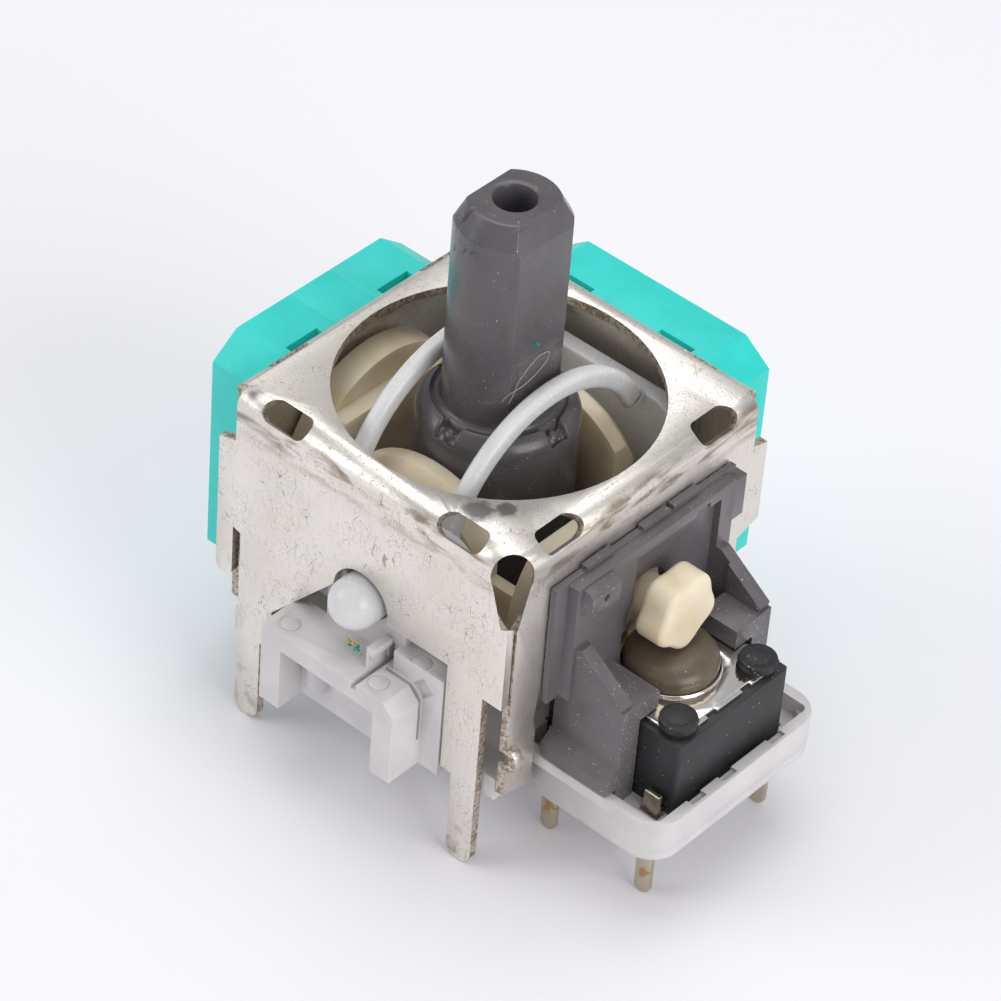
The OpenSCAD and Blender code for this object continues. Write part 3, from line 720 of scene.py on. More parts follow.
@dataclass
class Workshop:
    """Puts pieces on their bodies and dresses the CAD nodes."""

    nodes: dict[str, bpy.types.Object]

    def fit(self, piece: bpy.types.Object, body: str,
            stands_for: Sequence[str] = ()) -> bpy.types.Object:
        """Makes a piece ride and hides what it stands for.

        Args:
            piece: The piece.
            body: The CAD body.
            stands_for: CAD nodes that it replaces.

        Returns:
            The piece.
        """
        if stands_for:
            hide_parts(*stands_for)
        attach(piece, body)
        LOG.info("%s: %d faces on %s", piece.name, len(piece.data.polygons), body)
        return piece

    def make(self, name: str, shell: Shell, finish: bpy.types.Material) -> bpy.types.Object:
        """A piece from a skin.

        Args:
            name: Name of the piece.
            shell: Its skin.
            finish: Its material.

        Returns:
            The piece.
        """
        piece = as_object(name, shell.vertices, shell.faces)
        piece.data.materials.append(finish)
        self.face_out(piece)
        return piece

    @staticmethod
    def face_out(piece: bpy.types.Object) -> None:
        """Makes all faces of closed skins point outwards."""
        work = bmesh.new()
        work.from_mesh(piece.data)
        bmesh.ops.recalc_face_normals(work, faces=work.faces)
        work.to_mesh(piece.data)
        work.free()

    def copy_rounded(self, node: str, name: str, edge: float) -> bpy.types.Object:
        """A merged copy of a CAD node whose sharp edges are rounded.

        Args:
            node: The CAD node.
            name: Name of the copy.
            edge: Width of the rounding in millimetres.

        Returns:
            The copy.
        """
        source = self.nodes[node]
        mesh = source.data.copy()
        mesh.name = name
        mesh.materials.clear()
        work = bmesh.new()
        work.from_mesh(mesh)
        bmesh.ops.remove_doubles(work, verts=work.verts, dist=MERGE_GAP * MM)
        bmesh.ops.dissolve_limit(work, angle_limit=math.radians(LEVEL_ANGLE), use_dissolve_boundaries=False,
                                 verts=work.verts, edges=work.edges)
        bmesh.ops.recalc_face_normals(work, faces=work.faces)
        for face in work.faces:
            face.smooth = True
        work.to_mesh(mesh)
        work.free()
        piece = bpy.data.objects.new(name, mesh)
        bpy.context.scene.collection.objects.link(piece)
        bevel = piece.modifiers.new("Rounded edges", "BEVEL")
        bevel.width = edge * MM
        bevel.segments = 2
        bevel.limit_method = "ANGLE"
        bevel.angle_limit = math.radians(SHARP_ANGLE)
        bevel.harden_normals = True
        bevel.use_clamp_overlap = True
        return piece

    @staticmethod
    def cut_off(piece: bpy.types.Object, limit: float) -> None:
        """Cuts away what lies beyond a plane across X and closes the cut.

        Args:
            piece: The copy to cut.
            limit: Where the plane is, in millimetres.
        """
        work = bmesh.new()
        work.from_mesh(piece.data)
        everything = [*work.verts, *work.edges, *work.faces]
        bmesh.ops.bisect_plane(work, geom=everything, plane_co=(limit * MM, 0.0, 0.0),
                               plane_no=(1.0, 0.0, 0.0), clear_outer=True)
        bmesh.ops.holes_fill(work, edges=[edge for edge in work.edges if edge.is_boundary], sides=0)
        bmesh.ops.recalc_face_normals(work, faces=work.faces)
        work.to_mesh(piece.data)
        work.free()

    def paint(self, node: str, finish: bpy.types.Material) -> None:
        """Dresses a CAD node that keeps its own mesh.

        Args:
            node: The CAD node.
            finish: Its material.
        """
        piece = self.nodes[node]
        piece.data.materials.clear()
        piece.data.materials.append(finish)
        LOG.info("%s: painted", node)


@dataclass
class Cover:
    """The folded metal cover and its sheared edges."""

    half: float = 6.85
    top: float = 11.5
    fold: float = 0.6
    edge: float = 0.09
    deep: float = 100.0
    # Dark blots: place and radius. The first two are a painted reflection of the stick in the top; the third
    # lies on the front-left fold.
    smudges_and_reflections: tuple[tuple[float, float, float, float], ...] = (
        (3.87, -5.44, 11.45, 0.8), (4.5, -4.7, 11.5, 0.5), (-5.9, -6.3, 11.2, 0.5))

    def edge_faces(self, mesh: bpy.types.Mesh) -> np.ndarray:
        """Which faces are sheared edges: those whose normal lies along the sheet.

        Args:
            mesh: The cover's mesh.

        Returns:
            One flag for each face.
        """
        count = len(mesh.polygons)
        centre = np.zeros(count * 3)
        normal = np.zeros(count * 3)
        mesh.polygons.foreach_get("center", centre)
        mesh.polygons.foreach_get("normal", normal)
        centre = centre.reshape(-1, 3) / MM
        normal = normal.reshape(-1, 3)
        core = np.clip(centre, [-self.half + self.fold, -self.half + self.fold, -self.deep],
                       [self.half - self.fold, self.half - self.fold, self.top - self.fold])
        away = centre - core
        reach = np.linalg.norm(away, axis=1)
        skin = np.abs(np.sum(away * normal, axis=1)) > 0.6 * np.maximum(reach, 1e-6)
        return ~(skin & (reach > 0.15))

    def build(self, shop: Workshop) -> None:
        """Builds the cover.

        Args:
            shop: Where pieces are made.
        """
        piece = shop.copy_rounded("frame_cover", "cover_sheet", self.edge)
        piece.data.materials.append(PlatedSheet("plated_sheet", smudges_and_reflections=self.smudges_and_reflections).material())
        piece.data.materials.append(RawEdge("sheared_edge").material())
        flags = self.edge_faces(piece.data)
        piece.data.polygons.foreach_set("material_index", flags.astype(np.int32))
        shop.fit(piece, "housing", ["frame_cover"])


@dataclass
class Stick:
    """The stick: hub with a rounded shoulder, round shaft with two flats, top bore."""

    axis_z: float = 5.8
    hub_r: float = 3.0
    hub_foot: float = 3.0
    hub_top: float = 11.45
    shoulder: float = 0.9
    moat: float = 0.2
    hub_bore_r: float = 2.1
    hub_bore_top: float = 9.6
    foot_edge: float = 0.1
    shaft_r: float = 2.1
    flat_x: float = 1.58
    flat_low: float = 11.9
    flat_high: float = 18.95
    flat_top_x: float = 1.2
    round_high: float = 19.2
    top_r: float = 1.65
    pad_y: float = 1.1
    pad_step: float = 0.04
    pad_bulge: float = 0.04
    pad_top: float = 14.15
    pad_slope: float = 0.54
    dimple_at: float = 2.6
    dimple_deep: float = 0.42
    top: float = 20.0
    crown_r: tuple[float, ...] = (1.63, 1.45, 1.28, 1.1, 0.82)
    bore_r: float = 0.8
    bore_depth: float = 6.0
    pivot_r: float = 0.9
    pivot_start: float = 2.6
    pivot_end: float = 4.18
    pivot_edge: float = 0.08
    columns: int = 360
    # Nicks of use: angle round the shaft, height, half length, half width, slant and depth
    nicks: tuple[tuple[float, ...], ...] = (
        (-113.0, 19.6, 0.36, 0.07, 80.0, 0.14), (-122.0, 19.45, 0.12, 0.1, 0.0, 0.08),
        (-88.0, 18.72, 0.2, 0.07, 15.0, 0.07), (-99.0, 18.6, 0.16, 0.06, 60.0, 0.06),
        (-118.0, 18.2, 0.16, 0.05, 70.0, 0.05), (-40.0, 19.9, 0.3, 0.06, 0.0, 0.06),
        (-70.0, 13.0, 0.1, 0.06, 40.0, 0.04), (-84.0, 12.3, 0.12, 0.05, 10.0, 0.04))

    def profile(self) -> np.ndarray:
        """Radius and height from the hub bore's end round the outside to the top bore's end.

        The shoulder is an arc that ends in the arc of the moat round the shaft's foot. Rows lie close
        where the shape changes: at the foot of the flats, the pad's top and the chamfer.

        Returns:
            The points of the profile.
        """
        core = self.hub_r - self.shoulder
        lip = self.shaft_r + 2.0 * self.moat
        bend = np.linspace(0.0, math.acos((lip - core) / self.shoulder), 34)
        shoulder = np.stack([core + self.shoulder * np.cos(bend),
                             self.hub_top + self.shoulder * (np.sin(bend) - 1.0)], axis=1)
        dip = np.linspace(-0.45, -np.pi, 16)
        groove = np.stack([self.shaft_r + self.moat * (1.0 + np.cos(dip)),
                           self.hub_top + self.moat * np.sin(dip)], axis=1)
        foot, edge = self.hub_foot, self.foot_edge
        corners = [[0.0, self.hub_bore_top], [self.hub_bore_r, self.hub_bore_top],
                   [self.hub_bore_r, foot + edge], [self.hub_bore_r + edge, foot],
                   [self.hub_r - edge, foot], [self.hub_r, foot + edge]]
        height = np.concatenate([np.linspace(self.hub_top + 0.02, self.flat_low - 0.06, 5),
                                 np.linspace(self.flat_low - 0.04, self.flat_low + 0.04, 5),
                                 np.linspace(self.flat_low + 0.2, self.pad_top - 0.5, 12),
                                 np.linspace(self.pad_top - 0.44, self.pad_top + 0.06, 16),
                                 np.linspace(self.pad_top + 0.4, self.flat_high - 1.0, 8),
                                 np.linspace(self.flat_high - 0.96, self.top - 0.02, 62)])
        taper = (self.shaft_r - self.top_r) / (self.top - self.round_high)
        radius = self.shaft_r - taper * np.maximum(height - self.round_high, 0.0)
        shaft = np.stack([radius, height], axis=1)
        crown = [*([reach, self.top] for reach in self.crown_r), [self.bore_r, self.top - 0.02],
                 [self.bore_r, self.top - 0.6], [self.bore_r, self.top - self.bore_depth],
                 [0.0, self.top - self.bore_depth]]
        return np.vstack([along([*corners, shoulder[0]], 0.5), shoulder[1:], groove, shaft, crown])

    def flats(self, y: np.ndarray, z: np.ndarray) -> np.ndarray:
        """Largest |x| of the shaft at a point.

        The flat's distance, less the chamfer near the top, plus the pad: a low step and a shallow arch
        across y, cut off by a slope at its upper end. Below the flats the round shaft is left whole.

        Args:
            y: Second coordinates.
            z: Heights.

        Returns:
            The limit for each point.
        """
        rise = np.clip((z - self.flat_high) / (self.top - self.flat_high), 0.0, 1.0)
        flat = self.flat_x - (self.flat_x - self.flat_top_x) * rise
        arch = self.pad_step + self.pad_bulge * (1.0 - (y / self.pad_y) ** 2)
        arch = arch * (1.0 - ease(np.abs(y), self.pad_y - 0.02, self.pad_y + 0.02))
        pad = np.clip(np.minimum(arch, (self.pad_top - z) * self.pad_slope), 0.0, None)
        foot = 1.0 - ease(z, self.flat_low - 0.04, self.flat_low + 0.04)
        return flat + pad + (self.hub_r - flat) * foot

    def shape(self, points: np.ndarray) -> np.ndarray:
        """Cuts the flats, presses the dimples into the shoulder and adds the nicks.

        A dimple sinks the shoulder by a fixed depth within a small square, less in its middle. A nick
        draws the skin inwards by a long slanted bell of the distances along and across it.

        Args:
            points: Points of the turned stick.

        Returns:
            The changed points.
        """
        x, y, z = points.T
        reach = np.hypot(x, y)
        turn = np.arctan2(y, x)
        shaft = (reach > self.bore_r + 0.05) & (z > self.hub_top)
        pull = np.zeros_like(x)
        for angle, height, long, wide, slant, depth in self.nicks:
            gap = (turn - math.radians(angle) + np.pi) % (2.0 * np.pi) - np.pi
            side, up = gap * reach, z - height
            cos, sin = math.cos(math.radians(slant)), math.sin(math.radians(slant))
            bell = ((side * cos + up * sin) / long) ** 2 + ((up * cos - side * sin) / wide) ** 2
            pull = np.maximum(pull, depth * np.exp(-bell))
        flat = np.where(shaft, np.sign(x) * np.minimum(np.abs(x), self.flats(y, z)), x)
        keep = 1.0 - np.where(shaft, pull / np.maximum(reach, 0.1), 0.0)
        sunk = np.zeros_like(x)
        for quarter in range(4):
            cos, sin = round(math.cos(quarter * math.pi / 2)), round(math.sin(quarter * math.pi / 2))
            ahead, side = x * cos + y * sin, y * cos - x * sin
            from_mid = ahead - self.dimple_at
            pit = (1.0 - ease(np.abs(side), 0.36, 0.46)) * (1.0 - ease(np.abs(from_mid), 0.26, 0.36))
            stud = 1.0 - ease(np.hypot(side, from_mid), 0.12, 0.2)
            sunk = np.maximum(sunk, pit * (1.0 - 0.3 * stud))
        sunk = np.where((z > self.hub_top - 1.1) & ~shaft & (reach > self.hub_bore_r + 0.2), sunk, 0.0)
        return np.stack([flat * keep, y * keep, z - self.dimple_deep * sunk], axis=1)

    def build(self, shop: Workshop) -> None:
        """Builds the stick.

        Args:
            shop: Where pieces are made.
        """
        skin = turned_skin(self.profile(), self.columns, self.shape)
        pin = rounded_prism(disc_outline(self.pivot_r, 48), self.pivot_start, self.pivot_end, self.pivot_edge)
        lift = (0.0, 0.0, self.axis_z)
        skin = skin + pin.turned(AXIS_Y, lift) + pin.turned(-AXIS_Y, lift)
        finish = Moulding("stick_plastic", srgb(92, 88, 92), srgb(78, 75, 78), rough=0.25, shade_share=0.6,
                          scuff=srgb(186, 182, 182), wear=Wear.USED, dust=0.02, grain=0.004)
        piece = shop.make("stick_body", skin, finish.material())
        shop.fit(piece, "stick", ["stick"])


@dataclass
class UpperArm:
    """The milky arm: two round rails over the hub, end plates, axles."""

    axis_z: float = 5.8
    arch_z: float = 7.4
    mid_r: float = 5.25
    rail_x: float = 2.275
    rail_w: float = 0.65
    rail_t: float = 0.8
    rail_end: float = 9.75
    foot: tuple[float, float, float] = (0.33, 0.52, 0.42)
    plate_in: float = 5.3
    plate_out: float = 6.0
    plate_half: float = 4.0
    plate_rise: float = 3.9
    plate_low: float = 2.0
    plate_corner: float = 1.2
    plate_bevel: float = 1.0
    plate_edge: float = 0.1
    axle_r: float = 1.0
    axle_start: float = 5.4
    axle_end: float = 7.1
    boss_r: float = 1.4
    boss_end: float = 6.6
    boss_edge: float = 0.06
    tongue_size: tuple[float, float] = (1.0, 2.2)
    tongue_reach: tuple[float, float] = (6.5, 8.4)

    def rail(self, side: float) -> Shell:
        """One rail: a rounded section along an arc, with a round foot where its far end meets the plate.

        Args:
            side: -1 or 1.

        Returns:
            The skin.
        """
        last = math.asin((self.rail_end - self.arch_z) / self.mid_r)
        angle = np.linspace(last, np.pi, 90)
        path = np.stack([np.full_like(angle, side * self.rail_x), self.mid_r * np.cos(angle),
                         self.arch_z + self.mid_r * np.sin(angle)], axis=1)
        rail = swept(path, super_outline(self.rail_w, self.rail_t, 3.0), np.array([1.0, 0.0, 0.0]))
        arc = np.linspace(-np.pi / 2, np.pi / 2, 25)
        ball = turned_skin(np.stack([np.abs(np.cos(arc)), np.sin(arc)], axis=1), 40)
        middle = (side * self.rail_x, float(path[0, 1]) + 0.16, self.rail_end - 0.07)
        return rail + ball.turned(np.diag(self.foot), middle)

    def plate(self) -> Shell:
        """End plate: a rectangle whose upper corners are arcs and lower ones bevelled, edges rounded.

        Returns:
            The skin, lying in the XY plane about the origin.
        """
        arc = np.linspace(0.0, np.pi / 2, 12)
        corner = np.stack([self.plate_half - self.plate_corner * (1.0 - np.cos(arc)),
                           self.plate_rise - self.plate_corner * (1.0 - np.sin(arc))], axis=1)
        mirrored = corner[::-1] * np.array([-1.0, 1.0])
        narrow = self.plate_half - self.plate_bevel
        foot = np.array([[-self.plate_half, self.plate_bevel - self.plate_low], [-narrow, -self.plate_low],
                         [narrow, -self.plate_low], [self.plate_half, self.plate_bevel - self.plate_low]])
        outline = np.vstack([foot, corner, mirrored])
        return rounded_prism(outline, self.plate_in, self.plate_out, self.plate_edge)

    def build(self, shop: Workshop) -> None:
        """Builds the upper arm.

        Args:
            shop: Where pieces are made.
        """
        flip = np.array([[1.0, 0.0, 0.0], [0.0, 0.0, 1.0], [0.0, 1.0, 0.0]])
        back = np.array([[1.0, 0.0, 0.0], [0.0, 0.0, -1.0], [0.0, 1.0, 0.0]])
        lift = (0.0, 0.0, self.axis_z)
        arc = np.linspace(0.0, np.pi / 2, 14)
        start, end = self.axle_start, self.axle_end
        dome = np.stack([self.axle_r * np.cos(arc), end + self.axle_r * np.sin(arc)], axis=1)
        axle = np.vstack([[[0.0, start], [self.axle_r, start], [self.axle_r, end - 0.2]], dome[:-1],
                          [[0.0, end + self.axle_r]]])
        boss = np.array([[0.0, start], [self.boss_r, start], [self.boss_r, self.boss_end - 0.05],
                         [self.boss_r - self.boss_edge, self.boss_end], [0.0, self.boss_end]])
        tongue = rounded_prism(super_outline(*self.tongue_size, 12.0), *self.tongue_reach, 0.05)
        skin = self.rail(-1.0) + self.rail(1.0)
        skin = skin + self.plate().turned(flip, lift) + self.plate().turned(back, lift)
        skin = skin + turned_skin(axle, 64).turned(back, lift) + turned_skin(boss, 64).turned(flip, lift)
        skin = skin + tongue.turned(flip, lift)
        finish = Moulding("milky_plastic", srgb(222, 222, 223), srgb(210, 211, 213), rough=0.26, shade_share=0.5,
                          scuff=srgb(252, 252, 252), dust=0.004, grain=0.002, glow=0.8, clear=0.04)
        piece = shop.make("upper_arm_body", skin, finish.material())
        shop.fit(piece, "upper_arm", ["upper_arm"])


@dataclass
class LowerArm:
    """The cream arm; its lobed knob is worked out on its own."""

    axis_z: float = 5.8
    knob_rise: float = 0.97
    knob_r: float = 1.58
    knob_low: float = 8.08
    knob_high: float = 9.4
    knob_edge: float = 0.26
    lobe: float = 0.07
    neck_end: float = 8.05
    edge: float = 0.08

    def knob_outline(self) -> np.ndarray:
        """Five soft lobes, one of them straight down: mean radius plus a cosine of five times the angle.

        Returns:
            The points.
        """
        angle = np.linspace(0.0, 2.0 * np.pi, 160, endpoint=False)
        wave = np.cos(5.0 * (angle + math.pi / 2))
        radius = self.knob_r * (1.0 - self.lobe + self.lobe * wave)
        return np.stack([radius * np.cos(angle), radius * np.sin(angle)], axis=1)

    def build(self, shop: Workshop) -> None:
        """Builds the lower arm.

        Args:
            shop: Where pieces are made.
        """
        # The amber second colour is the cream's painted shade.
        finish = Moulding("cream_plastic", srgb(234, 222, 196), srgb(218, 192, 148), rough=0.38, shade_share=0.55,
                          scuff=srgb(250, 244, 228), dust=0.006, dust_colour=srgb(120, 96, 60), grain=0.002,
                          glow=0.5)
        material = finish.material()
        piece = shop.copy_rounded("lower_arm", "lower_arm_body", self.edge)
        shop.cut_off(piece, self.neck_end)
        piece.data.materials.append(material)
        shop.fit(piece, "lower_arm", ["lower_arm"])
        knob = rounded_prism(self.knob_outline(), self.knob_low, self.knob_high, self.knob_edge, 8)
        lift = (0.0, 0.0, self.axis_z + self.knob_rise)
        head = shop.make("lower_arm_knob", knob.turned(AXIS_X, lift), material)
        shop.fit(head, "lower_arm")


@dataclass
class PushSwitch:
    """The tact switch: body, plate, plunger, moulded heads and contacts."""

    centre_x: float = 8.8
    plate_top: float = 4.13
    plunger_r: float = 1.75
    plunger_top: float = 5.12
    plunger_low: float = 3.1
    flange: float = 0.1
    straight: float = 0.32
    shoulder: float = 1.15
    lip_h: float = 0.07
    lip_in: float = 0.04
    lip_out: float = 0.1
    head_r: float = 0.72
    head_h: float = 0.34
    head_edge: float = 0.16
    head_at: float = 2.2
    waves: tuple[int, ...] = (2, 3, 5, 9, 14)
    wobble: float = 0.018
    grit: float = 0.008

    def plunger(self) -> Shell:
        """Plunger: a straight side that turns over a wide round shoulder into a low crown.

        Returns:
            The skin.
        """
        angle = np.linspace(0.0, np.pi / 2, 22)
        straight = self.plate_top + self.straight
        rise = self.plunger_top - straight
        crown = np.stack([self.plunger_r - self.shoulder + self.shoulder * np.cos(angle),
                          straight + rise * np.sin(angle)], axis=1)
        wide, low = self.plunger_r + self.flange, self.plunger_low
        foot = np.array([[0.0, low], [wide, low], [wide, low + 0.35], [self.plunger_r, low + 0.36],
                         [self.plunger_r, self.plate_top]])
        return turned_skin(np.vstack([foot, crown, [[0.0, self.plunger_top]]]), 96)

    def lip(self) -> Shell:
        """Turned-up rim of the plate's hole: a thin upright ring section turned about the plunger's axis.

        Returns:
            The skin.
        """
        low, high = self.plate_top - 0.04, self.plate_top + self.lip_h
        inner, outer = self.plunger_r + self.lip_in, self.plunger_r + self.lip_out
        ring = np.array([[outer, low], [outer, high - 0.02], [outer - 0.02, high], [inner + 0.02, high],
                         [inner, high - 0.02], [inner, low]])
        angle = np.linspace(0.0, 2.0 * np.pi, 96, endpoint=False)
        rings = np.stack([np.outer(np.cos(angle), ring[:, 0]), np.outer(np.sin(angle), ring[:, 0]),
                          np.tile(ring[:, 1], (len(angle), 1))], axis=-1)
        closed = grid_faces(len(angle) + 1, len(ring)) % (len(angle) * len(ring))
        skin = Shell(rings.reshape(-1, 3), [tuple(face) for face in closed])
        return skin.turned(np.eye(3), (self.centre_x, 0.0, 0.0))

    def head(self, x: float, y: float, seed: int) -> Shell:
        """Moulded head: a low squashed disc whose rim and top are roughened by seeded noise.

        Args:
            x: Where it stands.
            y: Where it stands.
            seed: Start of its own noise.

        Returns:
            The skin.
        """
        rng = np.random.default_rng(seed)
        angle = np.linspace(0.0, np.pi / 2, 8)
        top, edge = self.plate_top + self.head_h, self.head_edge
        side = np.stack([self.head_r - edge + edge * np.cos(angle), top - edge + edge * np.sin(angle)],
                        axis=1)
        foot = self.plate_top - 0.02
        profile = np.vstack([[[0.0, foot], [self.head_r - 0.08, foot]], side,
                             [[0.4, top - 0.02], [0.2, top - 0.05], [0.0, top - 0.06]]])

        def roughen(points: np.ndarray) -> np.ndarray:
            """Adds seeded wobble, larger towards the rim."""
            reach = np.hypot(points[:, 0], points[:, 1]) / self.head_r
            turn = np.arctan2(points[:, 1], points[:, 0])
            wobble = sum(self.wobble * np.cos(k * turn + rng.uniform(0, ABOUT_A_TURN)) for k in self.waves)
            grit = rng.normal(0.0, self.grit, len(points))
            wide = 1 + wobble * reach
            push = np.stack([grit, grit, 1.3 * grit * reach], axis=1)
            return points * np.stack([wide, wide, np.ones_like(reach)], axis=1) + push

        shell = turned_skin(profile, 48, roughen)
        return shell.turned(np.eye(3), (x, y, 0.0))

    def build(self, shop: Workshop) -> None:
        """Builds the switch.

        Args:
            shop: Where pieces are made.
        """
        black = Moulding("black_plastic", srgb(44, 44, 47), srgb(30, 30, 33), rough=0.5, shade_share=0.6,
                         scuff=srgb(120, 118, 116), wear=Wear.USED, dust=0.035, grain=0.01).material()
        melted = Moulding("melted_head", srgb(42, 44, 47), srgb(26, 27, 30), rough=0.55, shade_share=0.9,
                          scuff=srgb(96, 98, 102), wear=Wear.USED, dust=0.02, grain=0.035).material()
        body = shop.copy_rounded("switch_body", "switch_block", 0.05)
        body.data.materials.append(black)
        shop.fit(body, "housing", ["switch_body"])
        heads = None
        for number, (sx, sy) in enumerate(((-1, -1), (1, -1), (-1, 1), (1, 1))):
            one = self.head(self.centre_x + sx * self.head_at, sy * self.head_at, 11 + number)
            heads = one if heads is None else heads + one
        shop.fit(shop.make("switch_heads", heads, melted), "housing")
        nickel = BrightMetal("switch_nickel", srgb(236, 234, 230), bare_share=0.02, rough=0.12).material()
        plate = shop.copy_rounded("switch_cover_plate", "switch_plate", 0.03)
        plate.data.materials.append(nickel)
        shop.fit(plate, "housing", ["switch_cover_plate"])
        shop.fit(shop.make("plate_hole_lip", self.lip(), nickel), "housing")
        # The second colour is the plunger's darker side, painted shade.
        brown = Moulding("plunger_plastic", srgb(104, 92, 76), srgb(66, 57, 47), rough=0.3, shade_share=0.6,
                         scuff=srgb(150, 140, 125), dust=0.03, grain=0.003, glow=0.1).material()
        crown = self.plunger().turned(np.eye(3), (self.centre_x, 0.0, 0.0))
        shop.fit(shop.make("plunger_button", crown, brown), "plunger", ["switch_plunger"])
        shop.paint("switch_snap_dome", BrightMetal("snap_steel", bare_share=0.02, rough=0.2).material())
        copper = BrightMetal("contact_copper", srgb(200, 190, 170), srgb(190, 140, 92), 0.2, 0.28).material()
        for node in ("switch_terminal_near", "switch_terminal_far"):
            piece = shop.copy_rounded(node, node.replace("terminal", "contact"), 0.06)
            piece.data.materials.append(copper)
            shop.fit(piece, "housing", [node])


@dataclass
class Mouldings:
    """Base and switch holder."""

    tray_in: float = 6.45
    tray_out: float = 12.47
    tray_half: float = 4.65
    tray_corner: float = 1.2
    wall: float = 0.44
    skirt_low: float = -0.42
    skirt_high: float = 0.98
    proud: float = 0.006

    def skirt(self) -> Shell:
        """Lower wall of the tray: an upright section carried round the tray's outline, open to the cover.

        Returns:
            The skin.
        """
        middle = self.wall / 2 - self.proud
        radius = self.tray_corner - middle
        arc = np.linspace(-np.pi / 2, 0.0, 16)
        near = np.stack([self.tray_out - self.tray_corner + radius * np.cos(arc),
                         self.tray_corner - self.tray_half + radius * np.sin(arc)], axis=1)
        far = near[::-1] * np.array([1.0, -1.0])
        start = self.tray_half - middle
        route = np.vstack([[[self.tray_in, -start]], near, far, [[self.tray_in, start]]])
        level = (self.skirt_low + self.skirt_high) / 2
        path = np.column_stack([route, np.full(len(route), level)])
        section = super_outline(self.skirt_high - self.skirt_low, self.wall, 14.0, 48)
        return swept(path, section, np.array([0.0, 0.0, 1.0]))

    def build(self, shop: Workshop) -> None:
        """Builds both mouldings.

        Args:
            shop: Where pieces are made.
        """
        # The second colour is the grey's shaded copy, painted shade.
        grey = Moulding("light_grey_plastic", srgb(214, 211, 211), srgb(196, 193, 196), rough=0.42,
                        shade_share=0.6, scuff=srgb(240, 238, 236), dust=0.01, dust_colour=srgb(120, 110, 100),
                        grain=0.004, glow=0.08)
        base = shop.copy_rounded("base", "base_moulding", 0.06)
        pale = grey.material()
        base.data.materials.append(pale)
        shop.fit(base, "housing", ["base"])
        shop.fit(shop.make("tray_skirt", self.skirt(), pale), "housing")
        dark = Moulding("dark_grey_plastic", srgb(106, 102, 105), srgb(92, 88, 92), rough=0.32, shade_share=0.7,
                        scuff=srgb(160, 157, 160), wear=Wear.USED, dust=0.07, grain=0.005)
        holder = shop.copy_rounded("switch_holder", "holder_moulding", 0.05)
        holder.data.materials.append(dark.material())
        shop.fit(holder, "housing", ["switch_holder"])


@dataclass
class Sensors:
    """The two rotary sensors."""

    groove_z: float = 10.94
    groove_near: float = 0.004
    groove_lift: float = 0.045

    def fill_grooves(self, mesh: bpy.types.Mesh) -> None:
        """Lifts the bottoms of the two top grooves until they are hairlines.

        Args:
            mesh: A housing's mesh.
        """
        place = np.zeros(len(mesh.vertices) * 3)
        mesh.vertices.foreach_get("co", place)
        height = place[2::3]
        height[np.abs(height / MM - self.groove_z) < self.groove_near] += self.groove_lift * MM
        mesh.vertices.foreach_set("co", place)
        mesh.update()

    def build(self, shop: Workshop) -> None:
        """Builds both sensors.

        Args:
            shop: Where pieces are made.
        """
        # The second colour is the green's shaded side, painted shade.
        green = Moulding("sensor_green", srgb(44, 214, 206), srgb(34, 202, 192), rough=0.45, shade_share=0.5,
                         scuff=srgb(150, 226, 210), dust=0.008, dust_colour=srgb(220, 246, 240),
                         glow=0.1).material()
        card = Moulding("track_card", srgb(70, 56, 42), srgb(40, 34, 30), rough=0.6, shade_share=0.8).material()
        white = Moulding("rotor_plastic", srgb(232, 229, 220), srgb(218, 214, 204), rough=0.4,
                         glow=0.2).material()
        pins = BrightMetal("pin_tin", srgb(208, 206, 202), srgb(168, 130, 92), 0.18, 0.3).material()
        leaf = BrightMetal("leaf_brass", srgb(214, 178, 110), srgb(180, 132, 74), 0.2, 0.25).material()
        for letter, body in (("x", "x_rotor"), ("y", "upper_arm")):
            shell = shop.copy_rounded(f"{letter}_sensor_housing", f"{letter}_sensor_case", 0.07)
            self.fill_grooves(shell.data)
            shell.data.materials.append(green)
            shop.fit(shell, "housing", [f"{letter}_sensor_housing"])
            rotor = shop.copy_rounded(f"{letter}_sensor_rotor", f"{letter}_sensor_spindle", 0.06)
            rotor.data.materials.append(white)
            shop.fit(rotor, body, [f"{letter}_sensor_rotor"])
            shop.paint(f"{letter}_sensor_element", card)
            shop.paint(f"{letter}_sensor_pins", pins)
            shop.paint(f"{letter}_sensor_wiper", leaf)


@dataclass
class Springs:
    """Return spring and the disc below it."""

    low: float = 1.66
    high: float = 9.44
    radius: float = 1.55
    wire_r: float = 0.16
    turns: int = 7
    steps: int = 60

    def build(self, shop: Workshop) -> None:
        """Builds the spring as a round section along a helix.

        Args:
            shop: Where pieces are made.
        """
        angle = np.linspace(0.0, 2.0 * np.pi * self.turns, self.steps * self.turns)
        rise = np.linspace(self.low, self.high, len(angle))
        path = np.stack([self.radius * np.cos(angle), self.radius * np.sin(angle), rise], axis=1)
        side = np.stack([np.cos(angle), np.sin(angle), np.zeros_like(angle)], axis=1)
        steel = BrightMetal("spring_steel", srgb(200, 198, 194), srgb(120, 112, 104), 0.1, 0.25).material()
        wire = swept(path, disc_outline(self.wire_r, 16), side)
        shop.fit(shop.make("spring_wire", wire, steel), "stick", ["return_spring"])
        shop.paint("return_disc", Moulding("disc_plastic", srgb(60, 60, 62), srgb(46, 46, 48)).material())


